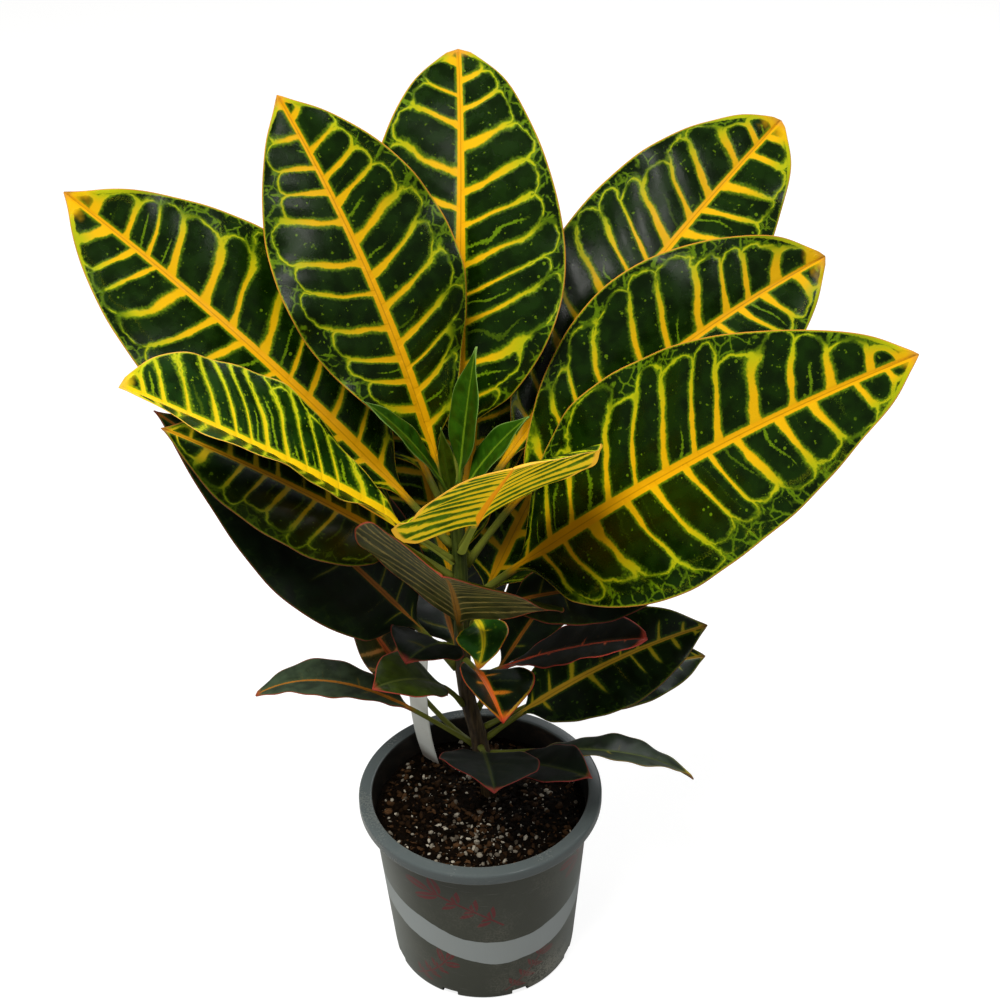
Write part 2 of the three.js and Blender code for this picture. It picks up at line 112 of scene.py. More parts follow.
CROWN, FOOT = (0.0, 0.0, 0.3), (0.0, 0.0, 0.1)
LIGHTS = [
    # name, place, what it points at, size, power, tint, seen in shiny leaves
    ("high_softbox", (-0.3, -0.35, 1.5), CROWN, 0.7, 28.0, (1.0, 0.98, 0.91), False),
    ("sheen_softbox", (0.6, -0.8, 1.2), CROWN, 0.3, 2.0, (1.0, 0.99, 0.96), True),
    ("back_softbox", (0.5, 1.0, 1.1), CROWN, 0.8, 6.0, (0.95, 0.98, 1.0), True),
    ("left_softbox", (-1.2, 0.35, 0.3), FOOT, 0.4, 3.0, (0.96, 0.98, 1.0), False),
    ("right_softbox", (1.2, 0.45, 0.3), FOOT, 0.4, 2.0, (0.96, 0.98, 1.0), False),
]
for light in LIGHTS:
    soft_light(*light)
world = bpy.data.worlds.new("pale_room")
bpy.context.scene.world = world
world.use_nodes = True
bpy.context.scene.view_settings.view_transform = "Standard"

FLOOR_HALF = 60.0
SQUARE = ((-1, -1), (1, -1), (1, 1), (-1, 1))
floor_mesh = bpy.data.meshes.new("floor")
corners = [(x * FLOOR_HALF, y * FLOOR_HALF, 0) for x, y in SQUARE]
floor_mesh.from_pydata(corners, [], [(0, 1, 2, 3)])
floor = bpy.data.objects.new("floor", floor_mesh)
bpy.context.scene.collection.objects.link(floor)

# %% [markdown]
# ## Small tools
# A node tree is easier to read when each node takes one line. `node` makes a node and fills its
# sockets, `calc` does one sum, and `plus`, `times` and their like do the common ones. `new_piece`
# turns arrays of points, in millimetres, into a mesh that stands for a CAD node and rides on the
# part's one body.

# %% Small tools: nodes and sums
def fill(tree, made, inputs):
    """A socket given as an input is linked, and any other value is typed in."""
    for key, value in inputs.items():
        if isinstance(value, bpy.types.NodeSocket):
            tree.links.new(value, made.inputs[key])
        else:
            made.inputs[key].default_value = value


def node(tree, kind, inputs=None, **settings):
    made = tree.nodes.new("ShaderNode" + kind)
    for name, value in settings.items():
        setattr(made, name, value)
    fill(tree, made, inputs or {})
    return made


def calc(tree, operation, *values):
    return node(tree, "Math", dict(enumerate(values)), operation=operation).outputs[0]


def sums(operation):
    """A helper that does one kind of sum on any number of values, from the first to the last."""
    def apply(tree, *values):
        result = values[0]
        for value in values[1:]:
            result = calc(tree, operation, result, value)
        return result

    return apply


plus, less, times, over = (sums(kind) for kind in ("ADD", "SUBTRACT", "MULTIPLY", "DIVIDE"))
largest, smallest, power = (sums(kind) for kind in ("MAXIMUM", "MINIMUM", "POWER"))
print("node tools:", [tool.__name__ for tool in (fill, node, calc, sums)])

# %% Small tools: masks and patterns
def fade(tree, value, start, end, low=0.0, high=1.0):
    """low up to start, high from end on, with a soft change between them."""
    inputs = {"Value": value, "From Min": start, "From Max": end, "To Min": low, "To Max": high}
    return node(tree, "MapRange", inputs, interpolation_type="SMOOTHSTEP").outputs["Result"]


def stripe(tree, distance, start, end):
    """1 along a line, 0 away from it, from the distance to the line."""
    return less(tree, 1.0, fade(tree, distance, start, end))


def blend(tree, share, first, second):
    return node(tree, "Mix", {0: share, 6: first, 7: second}, data_type="RGBA").outputs[2]


def here(tree):
    """The point that is being coloured, in metres."""
    return node(tree, "TexCoord").outputs["Object"]


def noise(tree, spot, scale, detail=2.0, rough=0.5):
    inputs = {"Vector": spot, "Scale": scale, "Detail": detail, "Roughness": rough}
    return node(tree, "TexNoise", inputs).outputs[0]


def stretched(tree, spot, scale, turn=(0.0, 0.0, 0.0)):
    """The same point in a space that is drawn out, for marks longer than they are wide."""
    return node(tree, "Mapping", {"Vector": spot, "Scale": scale, "Rotation": turn}).outputs[0]


def relief(tree, shader, height, strength, depth):
    """Unevenness too small for the mesh; depth is in metres."""
    bump = node(tree, "Bump", {"Height": height, "Strength": strength, "Distance": depth})
    fill(tree, shader, {"Normal": bump.outputs[0]})


print("mask tools:", [tool.__name__ for tool in (fade, stripe, blend, noise, stretched, relief)])

# %% Small tools: groups and materials
def new_group(name, inputs, outputs):
    tree = bpy.data.node_groups.new(name, "ShaderNodeTree")
    for title, kind, value in inputs:
        socket = tree.interface.new_socket(title, in_out="INPUT", socket_type="NodeSocket" + kind)
        socket.default_value = value
    for title, kind in outputs:
        tree.interface.new_socket(title, in_out="OUTPUT", socket_type="NodeSocket" + kind)
    return tree, tree.nodes.new("NodeGroupInput").outputs, tree.nodes.new("NodeGroupOutput")


def place_group(tree, group, inputs):
    made = tree.nodes.new("ShaderNodeGroup")
    made.node_tree = group
    fill(tree, made, inputs)
    return made.outputs


def new_material(name):
    material = bpy.data.materials.new(name)
    material.use_nodes = True
    tree = material.node_tree
    return material, tree, tree.nodes["Principled BSDF"]


print("tree tools:", [tool.__name__ for tool in (new_group, place_group, new_material)])

# %% Small tools: meshes
MM = 0.001


def new_piece(name, points, faces, materials, slot, replaced=()):
    """A smooth mesh from points in millimetres; faces are rows of 3 or 4 point numbers."""
    mesh = bpy.data.meshes.new(name)
    mesh.from_pydata((np.asarray(points, float) * MM).tolist(), [], list(map(list, faces)))
    mesh.shade_smooth()
    for material in materials:
        mesh.materials.append(material)
    piece = bpy.data.objects.new(name, mesh)
    bpy.context.scene.collection.objects.link(piece)
    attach(piece, "root")
    for cad_node in replaced:
        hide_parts(cad_node)
    return piece


def ring_faces(rings, count):
    """Quads between rings of count points, each ring closed."""
    ring, spot = np.meshgrid(np.arange(rings - 1), np.arange(count), indexing="ij")
    after = (spot + 1) % count
    near = ring * count
    far = near + count
    return np.stack([near + spot, near + after, far + after, far + spot], -1).reshape(-1, 4)


def closed_tube(rings):
    """Points and faces of a loft over the rings, with a flat cap on the first and the last."""
    count = rings.shape[1]
    points = rings.reshape(-1, 3)
    faces = ring_faces(len(rings), count).tolist()
    faces.append(list(range(count))[::-1])
    faces.append(list(range(len(points) - count, len(points))))
    return points, faces


def triangles(piece):
    return sum(len(face.vertices) - 2 for face in piece.data.polygons)


print("a tube of 3 rings with 8 points each has", len(ring_faces(3, 8)), "side faces")

# %% Small tools: points and numbers
def around(sides):
    """Evenly spaced angles of a full turn."""
    return np.linspace(0, 2 * np.pi, sides, endpoint=False)


def round_points(radius, angle, height):
    """Points at each radius, angle and height round the upright axis."""
    x, y = radius * np.cos(angle), radius * np.sin(angle)
    return np.stack(np.broadcast_arrays(x, y, height), -1)


def smooth(x):
    """0 up to 0, 1 from 1 on, with an S-shaped rise between them."""
    x = np.clip(x, 0.0, 1.0)
    return x * x * (3.0 - 2.0 * x)


def mix(a, b, share):
    return a + (b - a) * share


print("smooth at 0, a quarter, a half and 1:", smooth(np.array([0, 0.25, 0.5, 1])))

# %% [markdown]
# ## The leaf table
# One row a leaf, with the numbers that the CAD model was made from, in millimetres and degrees.
# `node` is the height on the stem, `heading` the compass direction (0 is to the right, 90 to the
# back), `rise` the angle above level at the stem, midway and at the tip. `roll` turns the blade
# about its midrib, `fold` lifts its two wings. `outline` is the place of the widest point, then how
# quickly the blade widens and narrows. `gold` is how far the golden tip reaches, and `spacing` the
# distance between side veins.

# %% The leaf table
LEAVES = []


def leaf(name, kind, node, heading, rise, stalk, length, width, outline, wave, **more):
    row = dict(
        name=name, kind=kind, node=node, heading=heading, rise=rise, stalk=stalk, length=length,
        width=width, outline=outline, wave=wave, roll=(0, 0), fold=(10, 10), swerve=0, gold=5,
        spacing=7.0 + 0.1 * width, seed=len(LEAVES) + 1,
    )
    LEAVES.append({**row, **more})


leaf("leaf_top_middle", "green_gold", 291, 84, (68, 60, 50), 26, 190, 100,
     (0.46, 1.1, 0.5), (2, 2.5, 0.2), fold=(6, 6), swerve=8, gold=8)
leaf("leaf_top_left", "green_gold", 284, 146, (78, 66, 55), 28, 187, 86,
     (0.54, 0.95, 0.8), (2, 3, 0.6), roll=(-25, -40), gold=12)
leaf("leaf_top_right", "green_gold", 281, 40, (41, 35, 27), 30, 228, 92,
     (0.55, 1, 0.6), (2.5, 3, 0), roll=(30, 42), gold=30)
leaf("leaf_top_left_behind", "green_gold", 275, 128, (52, 37, 23), 28, 158, 80,
     (0.52, 0.9, 0.7), (2, 2.5, 0.4), roll=(-20, -30))
leaf("leaf_upper_left", "green_gold", 267, 165, (50, 44, 37), 30, 216, 94,
     (0.54, 0.85, 0.85), (2, 3, 0.1), roll=(-28, -45), gold=34)
leaf("leaf_upper_right", "green_gold", 256, 18, (54, 35, 20), 34, 196, 90,
     (0.55, 1.15, 0.65), (2, 3, 0.5), roll=(42, 56), gold=26)
leaf("leaf_right", "green_gold", 234, 341, (47, 42, 33), 32, 234, 108,
     (0.42, 1.1, 0.7), (2, 3, 0.3), roll=(48, 60), fold=(5, 5), gold=24)
leaf("leaf_left_folded", "lemon", 260, 200, (48, 42, 36), 26, 170, 78,
     (0.6, 0.9, 0.55), (1.5, 2.5, 0.7), fold=(16, 35), gold=16, spacing=11.0)
leaf("leaf_left_middle", "olive", 249, 184, (42, 36, 30), 28, 134, 72,
     (0.44, 0.8, 0.9), (1.5, 2, 0.2), roll=(-20, -35))
leaf("leaf_left_lower", "dark", 190, 171, (54, 45, 37), 28, 174, 78,
     (0.38, 0.8, 1), (1.5, 2, 0.9), roll=(-30, -45))
leaf("leaf_front_upper", "gold", 268, 293, (58, 50, 38), 32, 106, 100,
     (0.5, 0.5, 0.4), (2, 2, 0), roll=(16, 24), fold=(-12, 8), swerve=-20, spacing=9.5)
leaf("leaf_front_lower", "dark", 213, 268, (60, 48, 36), 22, 135, 104,
     (0.5, 0.9, 0.9), (1.5, 2, 0.5), roll=(-12, -30), spacing=9.5)
leaf("leaf_back_upper", "green_gold", 240, 80, (66, 50, 38), 24, 160, 72,
     (0.52, 0.9, 0.7), (2, 2.5, 0.3))
leaf("leaf_back_left", "green_gold", 216, 106, (50, 36, 20), 24, 160, 80,
     (0.45, 0.75, 0.7), (2, 2.5, 0.8), roll=(-10, -20))
leaf("leaf_back_right", "green_gold", 206, 58, (42, 28, 15), 24, 170, 88,
     (0.42, 0.7, 0.7), (2, 2.5, 0.1), roll=(10, 20))
leaf("leaf_back_low_left", "dark", 172, 103, (26, 10, -6), 24, 120, 84,
     (0.45, 0.8, 0.7), (1.5, 2.5, 0.6), roll=(0, -6))
leaf("leaf_back_low_right", "dark", 158, 47, (45, 28, 0), 22, 120, 50,
     (0.5, 0.9, 0.7), (1.5, 2, 0.4))
leaf("leaf_right_under", "dark", 224, 342, (36, 20, 6), 22, 88, 42,
     (0.5, 0.9, 0.7), (1, 2, 0), roll=(20, 40))
leaf("leaf_right_curled", "wine_in_shade", 183, 335, (40, 33, 20), 20, 90, 36,
     (0.6, 0.9, 0.5), (1, 2, 0.5), roll=(0, 5))
leaf("leaf_front_left_dark", "shade", 203, 233, (60, 28, -10), 16, 32, 44,
     (0.5, 0.9, 0.8), (1, 1.5, 0))
leaf("leaf_front_small", "fresh", 227, 300, (34, -2, -55), 12, 31, 27,
     (0.5, 0.9, 0.8), (1, 1.5, 0.3), roll=(10, 20), swerve=-68)
leaf("leaf_front_orange", "spark", 198, 292, (22, 1, -34), 14, 37, 48,
     (0.5, 0.9, 0.9), (1, 1.5, 0.6), roll=(5, 10), fold=(0, 58), gold=14)
leaf("leaf_low_right", "spotted", 140, 6, (40, 31, 14), 22, 110, 55,
     (0.48, 0.75, 0.8), (1, 2.5, 0), roll=(20, 45))
leaf("leaf_low_right_behind", "spotted", 146, 26, (12, -4, -14), 24, 114, 45,
     (0.5, 0.9, 0.8), (1, 2, 0.5), roll=(20, 30))
leaf("leaf_low_right_drooping", "sheen_reed", 129, 354, (6, 17, -42), 22, 90, 30,
     (0.55, 0.9, 0.6), (1, 2, 0.2), roll=(-10, -22), gold=22)
leaf("leaf_low_left_drooping", "sheen_grey", 134, 155, (18, 29, -30), 36, 91, 30,
     (0.55, 0.9, 0.6), (1, 2, 0.7), swerve=36)
leaf("leaf_low_left_steep", "ember", 131, 137, (6, 48, 66), 40, 74, 50,
     (0.5, 0.9, 0.8), (1, 2, 0.1), roll=(-30, -45), fold=(55, 8), swerve=26)
leaf("leaf_low_left_small", "moss", 168, 228, (62, 42, 12), 22, 60, 36,
     (0.5, 0.9, 0.8), (1, 1.5, 0.4), roll=(-10, -20))
leaf("leaf_low_front", "shade", 137, 277, (34, 24, 8), 14, 52, 52,
     (0.5, 0.9, 0.9), (1, 1.5, 0.8), roll=(-8, -12))
leaf("leaf_low_front_right", "shade", 125, 324, (28, 20, 8), 14, 54, 34,
     (0.5, 0.9, 0.9), (1, 1.5, 0.2))
leaf("crown_leaf_left", "young", 301, 206, (68, 58, 46), 6, 68, 15,
     (0.45, 1, 1), (0, 1, 0), roll=(-25, -35))
leaf("crown_leaf_front", "young", 297, 258, (66, 76, 72), 5, 50, 8,
     (0.45, 1, 1), (0, 1, 0))
leaf("crown_leaf_tall", "young", 302, 40, (84, 80, 76), 6, 66, 20,
     (0.45, 1, 1), (0, 1, 0))
leaf("crown_leaf_right", "young", 299, 338, (64, 57, 46), 6, 56, 17,
     (0.45, 1, 1), (0, 1, 0), roll=(35, 45))

print("leaves:", len(LEAVES))

# %% [markdown]
# ## The stem's line
# The stem is a little crooked. Its centre line passes through six points, and a Catmull-Rom curve
# joins them without corners. Leaves ask this curve where the stem is at their own height.

# %% The stem's line
STEM_LINE = np.array([
    (7, 9, 66), (5, 8, 98), (0, 6, 140), (-6, 4, 178), (-6.5, 2, 262), (-8, 1, 303),
], float)
STEM_FOOT_RADIUS = 4.8
STEM_TOP_RADIUS = 3.2


def curve_through(points, steps=40):
    """A centripetal Catmull-Rom curve through the points."""
    padded = np.vstack([2 * points[0] - points[1], points, 2 * points[-1] - points[-2]])
    share = np.linspace(0, 1, steps, endpoint=False)[:, None]
    line = []
    for before, start, end, after in zip(padded, padded[1:], padded[2:], padded[3:]):
        pairs = (before, start), (start, end), (end, after)
        gap0, gap1, gap2 = (np.sqrt(np.linalg.norm(b - a)) for a, b in pairs)
        leave = gap1 * ((start - before) / gap0 - (end - before) / (gap0 + gap1)) + (end - start)
        arrive = (end - start) - gap1 * (after - start) / (gap1 + gap2) + gap1 * (after - end) / gap2
        curve = start + leave * share + (3 * (end - start) - 2 * leave - arrive) * share**2
        line.append(curve + (2 * (start - end) + leave + arrive) * share**3)
    return np.vstack([*line, points[-1:]])


stem_curve = curve_through(STEM_LINE)


def stem_at(height):
    x, y = (np.interp(height, stem_curve[:, 2], stem_curve[:, i]) for i in (0, 1))
    return np.array([x, y, height], float)


def stem_radius(height):
    share = (height - STEM_LINE[0, 2]) / (STEM_LINE[-1, 2] - STEM_LINE[0, 2])
    return mix(STEM_FOOT_RADIUS, STEM_TOP_RADIUS, np.clip(share, 0, 1))


print("stem from", stem_curve[0].round(1), "to", stem_curve[-1].round(1), "mm")

# %% [markdown]
# ## The form of a leaf
# A leaf could be a flat sheet bent with modifiers, but then its stalk and its thickness would be
# extra work. Here it is lofted: a closed ring of points travels along the midrib. On the stalk the
# ring is round; on the blade it is a thin plate. Each wing arches a little, the margin waves, the
# fields between the side veins puff up, and the midrib is a groove on top and a keel below.

# %% The form of a leaf: where the midrib runs
STEM_GAP = 0.3
MIDRIB_STEPS = 120
STALK_RADIUS, STALK_RADIUS_BY_WIDTH = 1.0, 0.009


def stalk_radius(row):
    return STALK_RADIUS + STALK_RADIUS_BY_WIDTH * row["width"]


def midrib(row):
    """Points, directions and sideways directions at even steps from the stem to the tip."""
    heading = math.radians(row["heading"])
    outward = np.array([math.cos(heading), math.sin(heading), 0.0])
    start = stem_at(row["node"])
    slant = abs((stem_at(row["node"] + 1) - start) @ outward)
    start = start + outward * (stem_radius(row["node"]) + STEM_GAP + slant * stalk_radius(row))
    s = np.linspace(0, 1, MIDRIB_STEPS + 1)
    low, middle, high = row["rise"]
    rise = np.radians((1 - s) ** 2 * low + 2 * s * (1 - s) * middle + s * s * high)
    turn = heading + np.radians(row["swerve"] * s * s)
    along = np.stack([np.cos(rise) * np.cos(turn), np.cos(rise) * np.sin(turn), np.sin(rise)], -1)
    side = np.stack([-np.sin(turn), np.cos(turn), np.zeros_like(turn)], -1)
    step = (row["stalk"] + row["length"]) / MIDRIB_STEPS
    line = start + np.vstack([np.zeros(3), np.cumsum(along[:-1] * step, 0)])
    return line, along, side


def between(line, spots):
    """Values at uneven spots along a line that is known at even steps."""
    before = np.minimum(spots.astype(int), len(line) - 2)
    part = (spots - before)[:, None]
    return line[before] * (1 - part) + line[before + 1] * part


print("the first leaf's tip is at", midrib(LEAVES[0])[0][-1].round(), "mm")

# %% The form of a leaf: side veins and puffed fields
VEIN_SLANT = 0.36
VEIN_CURVE = 0.0035


def vein_phase(row, along, out):
    """A number that grows by one from each side vein to the next, the same as the paint uses."""
    seed = row["seed"]
    lane = along - VEIN_SLANT * out - VEIN_CURVE * out**2
    uneven = 2.6 * np.sin(lane / 17 + 1.7 * seed) + 1.7 * np.sin(lane / 7.3 + 2.9 * seed)
    return (lane + uneven) / row["spacing"] + 20


first = LEAVES[0]
veins = vein_phase(first, first["length"], 0.0) - vein_phase(first, 0.0, 0.0)
print("the first leaf has", round(veins), "side veins on each wing")

# %% The form of a leaf: waves and puffs
PUFF, ARCH, SMALL_WAVE = 0.22, 0.03, 0.5
SMALL_WAVE_RATE = 2.7


def lifted(row, on_blade, q, reach, half):
    """How far the blade stands above its folded plate; q runs from -1 to 1 across it."""
    height, count, shift = row["wave"]
    away = np.abs(q)
    ripple = (height * np.minimum(1, half / (0.23 * row["width"])))[:, None]
    phase = 2 * np.pi * (count * on_blade + shift)[:, None] + np.where(q > 0, 0, 2)
    along = (row["length"] * on_blade)[:, None]
    side_phase = vein_phase(row, along, np.abs(reach * q)) + 0.25 * np.sign(q)
    puff = PUFF * np.cos(2 * np.pi * (side_phase - 0.5)) * smooth(away / 0.25)
    puff = puff * (1 - smooth((away - 0.7) / 0.25))
    small_phase = 2 * np.pi * (SMALL_WAVE_RATE * count * on_blade + shift)[:, None] + 3 * (q > 0)
    small_wave = SMALL_WAVE * np.sin(small_phase) * away**4
    waves = ripple * q**2 * np.sin(phase) + ARCH * reach * np.sin(np.pi * away)
    return waves + puff * half[:, None] / (row["width"] / 2) + small_wave


print("the first leaf's margin waves by", first["wave"][0], "mm")

# %% The form of a leaf: outline, grid and axes
POINT_SPACING = 1.8
EDGE_CROWDING = math.pi / 2 * 0.8
ROLL_FROM = 0.12


def half_width(row, t):
    """The blade's half width; a sine that is skewed until its top lies at the widest point."""
    peak, foot, tip = row["outline"]
    inside = np.clip(t, 1e-6, 1 - 1e-6)
    skew = math.log(0.5) / math.log(peak)
    bell = np.sin(np.pi * inside**skew) ** mix(foot, tip, inside)
    return row["width"] / 2 * bell * (t > 0) * (t < 1)


def unit(vectors):
    return vectors / np.linalg.norm(vectors, axis=-1, keepdims=True)


def leaf_grid(row):
    """Places along the leaf, -1 to 0 on the stalk and 0 to 1 on the blade, and -1 to 1 across it."""
    across = 2 * max(6, round(row["width"] / 2 / POINT_SPACING)) + 1
    blade_rings = max(24, round(row["length"] / POINT_SPACING))
    t = np.concatenate([np.linspace(-1, 0, 9)[:-1], np.linspace(0, 1, blade_rings + 1)])
    q = np.sin(np.linspace(-1, 1, across) * EDGE_CROWDING) / math.sin(EDGE_CROWDING)
    return t, q


def leaf_axes(row, on_stalk, on_blade):
    """The midrib's points and the directions sideways and up, rolled about the midrib."""
    stalk, length = row["stalk"], row["length"]
    from_stem = (stalk * on_stalk + length * on_blade) / (stalk + length)
    line, along, side = (between(part, from_stem * MIDRIB_STEPS) for part in midrib(row))
    along, side = unit(along), unit(side)
    lift = np.cross(along, side)
    roll = (np.radians(mix(*row["roll"], on_blade)) * smooth(from_stem / ROLL_FROM))[:, None]
    side, up = side * np.cos(roll) + lift * np.sin(roll), lift * np.cos(roll) - side * np.sin(roll)
    return line, side, up


print("the first leaf's grid:", [len(places) for places in leaf_grid(first)], "points")

# %% The form of a leaf: the loft
PLATE_HALF, CREASE = 0.3, 0.04
FLAT_FROM = 0.14
TIP_PINCH, TIP_LENGTH = 0.3, 9.0
RIB_WIDTHS, RIB_HEIGHT, GROOVE_DEPTH = (2.4, 1.0), 1.3, 0.4
STALK_SWELL, STALK_FOOT_LENGTH = 0.25, 0.9


def leaf_points(row):
    """Rings of points round the leaf, and for each point its place on the blade."""
    t, q = leaf_grid(row)
    on_blade, on_stalk = np.maximum(t, 0), 1 + np.minimum(t, 0)
    line, side, up = leaf_axes(row, on_stalk, on_blade)
    flat = smooth(on_blade / FLAT_FROM)[:, None]
    radius = stalk_radius(row) * (1 - 0.45 * smooth(on_blade / 0.5))
    radius = radius * (1 - 0.75 * smooth((on_blade - 0.85) / 0.15))
    to_tip = row["length"] * (1 - on_blade)
    half = half_width(row, t) * (1 - TIP_PINCH * np.exp(-((to_tip / TIP_LENGTH) ** 2)))
    reach = np.maximum(half, radius)[:, None]
    out, away = reach * q, np.abs(q)
    fold = np.radians(np.where(q > 0, row["fold"][0], row["fold"][1])) * flat
    raised = reach * np.sin(fold) * (np.sqrt(away**2 + CREASE**2) - CREASE)
    raised = raised + flat * lifted(row, on_blade, q, reach, half)
    plate = line[:, None] + side[:, None] * (reach * np.cos(fold) * q)[..., None]
    plate = plate + up[:, None] * raised[..., None]

    rib_width = mix(*RIB_WIDTHS, on_blade)[:, None]
    rib = (RIB_HEIGHT * (1 - 0.7 * on_blade))[:, None] * np.exp(-((out / rib_width) ** 2))
    groove = GROOVE_DEPTH * np.exp(-((out / (0.5 * rib_width)) ** 2))
    thick = PLATE_HALF * np.sqrt(1 - 0.9 * away**10)
    angle = np.pi * (0.02 + 0.96 * (q + 1) / 2)
    swell = (1 + STALK_SWELL * (1 - smooth(on_stalk / 0.5)))[:, None] * radius[:, None]
    round_side = line[:, None] + side[:, None] * (-np.cos(angle) * swell)[..., None]
    round_up = up[:, None] * (np.sin(angle) * swell)[..., None]
    above, below = (up[:, None] * part[..., None] for part in (thick - groove, thick + rib))
    top = mix(round_side + round_up, plate + above, flat[..., None])
    under = mix(round_side - round_up, plate - below, flat[..., None])
    rings = np.concatenate([under, top[:, ::-1]], 1)
    rings[0] += unit(line[0] - line[1]) * STALK_FOOT_LENGTH

    def both(values):
        values = np.broadcast_to(values, out.shape)
        return np.concatenate([values, values[:, ::-1]], 1)

    blade_along = np.where(t < 0, t * row["stalk"], t * row["length"])[:, None]
    middle_phase = vein_phase(row, (row["length"] * on_blade)[:, None], np.abs(out))
    vein_place = np.stack([both(values) for values in (middle_phase, out, blade_along)], -1)
    leaf_size = np.stack([both(values) for values in (reach, to_tip[:, None], row["spacing"])], -1)
    return rings, vein_place, leaf_size


print("the first leaf's rings and points in a ring:", leaf_points(first)[0].shape[:2])

# %% [markdown]
# ## The vein net
# The pattern could be painted, but a painted picture fits one leaf only. A shader can draw it from
# each point's place on the blade instead. Think of the dark fields between the side veins as long
# rooms with a rounded outer end. Where two rooms meet, there is a vein. Where their rounded ends
# part, the vein forks and joins its neighbours in arches, which is just what a croton does. `Vein
# room` measures the distance to the wall of one room. `Leaf veins` looks at the two nearest rooms,
# and adds the midrib, short loose veins, flecks, a faint outer net, the margin and the golden tip.

# %% One room between two veins
END_FLATNESS = 1.5
room, given, result = new_group(
    "Vein room",
    [
        ("Room", "Float", 0.0),
        ("Offset", "Float", 0.0),
        ("Spacing", "Float", 12.0),
        ("Out", "Float", 0.0),
        ("Half width", "Float", 40.0),
        ("Room reach", "Float", 1.0),
    ],
    [("Distance", "Float"), ("Chance", "Color")],
)
chance = node(room, "TexWhiteNoise", {"W": given["Room"]}, noise_dimensions="1D")
own_end = fade(room, chance.outputs["Value"], 0.0, 1.0, 0.76, 0.97)
outer_end = times(room, own_end, given["Room reach"])
half_room = times(room, given["Spacing"], 0.5)
end_depth = times(room, half_room, 1 / END_FLATNESS)
room_end = less(room, times(room, given["Half width"], outer_end), end_depth)
past_end = largest(room, less(room, given["Out"], room_end), 0.0)
past_end = times(room, past_end, END_FLATNESS)
sideways = times(room, given["Offset"], given["Spacing"])
squares = plus(room, power(room, sideways, 2.0), power(room, past_end, 2.0))
distance = less(room, calc(room, "SQRT", squares), half_room)
fill(room, result, {"Distance": distance, "Chance": chance.outputs["Color"]})
print("group:", room.name, len(room.nodes), "nodes")

# %% The whole net: its inputs
net, given, result = new_group(
    "Leaf veins",
    [
        ("Field", "Color", (0.01, 0.03, 0.01, 1)),
        ("Fringe", "Color", (0.1, 0.2, 0.01, 1)),
        ("Vein", "Color", (0.7, 0.5, 0.02, 1)),
        ("Vein end", "Color", (0.4, 0.4, 0.02, 1)),
        ("Midrib", "Color", (0.75, 0.45, 0.02, 1)),
        ("Edge", "Color", (0.4, 0.1, 0.02, 1)),
        ("Stalk", "Color", (0.2, 0.2, 0.03, 1)),
        ("Vein width", "Float", 1.2),
        ("Midrib width", "Float", 2.4),
        ("Vein reach", "Float", 1.5),
        ("Vein share", "Float", 1.0),
        ("Room reach", "Float", 1.0),
        ("Net amount", "Float", 1.0),
        ("Fleck amount", "Float", 1.0),
        ("Edge width", "Float", 0.5),
    ],
    [("Color", "Color"), ("Vein mask", "Float"), ("Height", "Float"), ("Sheen mask", "Float")],
)


def split(vector):
    return node(net, "SeparateXYZ", {0: vector}).outputs


def attribute(name, output):
    return node(net, "Attribute", attribute_name=name).outputs[output]


phase, signed_out, along = split(attribute("vein_place", "Vector"))
half, to_tip, spacing = split(attribute("leaf_size", "Vector"))
seed, gold = attribute("leaf_seed", "Fac"), attribute("gold_reach", "Fac")
on_leaf = node(net, "CombineXYZ", {0: along, 1: signed_out, 2: times(net, seed, 37.0)}).outputs[0]


def leaf_noise(scale, detail=2.0):
    return node(net, "TexNoise", {"Vector": on_leaf, "Scale": scale, "Detail": detail})


def around_zero(value, size):
    return times(net, less(net, value, 0.5), size)


def blend_values(share, first, second):
    return calc(net, "MULTIPLY_ADD", share, less(net, second, first), first)


def vectors(operation, first, second):
    return node(net, "VectorMath", {0: first, 1: second}, operation=operation).outputs[0]


def shaded(colour, value):
    return node(net, "HueSaturation", {"Color": colour, "Value": value}).outputs[0]


bend = split(leaf_noise(0.04, 1.0).outputs["Color"])
bend_small = split(leaf_noise(0.22, 2.0).outputs["Color"])
feather = less(net, leaf_noise(0.8, 3.0).outputs[0], 0.5)
patches = leaf_noise(0.13, 2.0).outputs[0]
print("group:", net.name, "knows where a point lies")

# %% The whole net: distances to the veins
side = calc(net, "SIGN", signed_out)
out = calc(net, "ABSOLUTE", signed_out)
share_out = over(net, out, half)
bent_out = plus(net, out, around_zero(bend[1], 14.0))
bent_phase = plus(net, phase, times(net, around_zero(bend[0], 0.9), share_out))
side_phase = plus(net, bent_phase, times(net, side, 0.25))
room_number = calc(net, "FLOOR", side_phase)
offset = less(net, calc(net, "FRACT", side_phase), 0.5)
off_middle = calc(net, "ABSOLUTE", offset)
leaf_number = plus(net, times(net, seed, 61.0), times(net, side, 173.0))
shared = {"Spacing": spacing, "Out": bent_out, "Half width": half, "Room reach": given["Room reach"]}
own = place_group(net, room, {
    "Room": plus(net, room_number, leaf_number), "Offset": off_middle, **shared,
})
next_number = plus(net, room_number, calc(net, "SIGN", offset))
beside = place_group(net, room, {
    "Room": plus(net, next_number, leaf_number),
    "Offset": less(net, 1.0, off_middle), **shared,
})
wiggle = times(net, around_zero(bend_small[0], 5.0), fade(net, share_out, 0.4, 0.75))
walls = [calc(net, "ABSOLUTE", plus(net, place["Distance"], wiggle)) for place in (own, beside)]
to_wall = smallest(net, *walls)
outside = smallest(net, own["Distance"], beside["Distance"])
chances = split(own["Chance"])
vein_number = plus(net, calc(net, "ROUND", side_phase), plus(net, leaf_number, 0.5))
vein_chance = node(net, "TexWhiteNoise", {"W": vein_number}, noise_dimensions="1D").outputs["Value"]
print("group:", net.name, "has its distances")

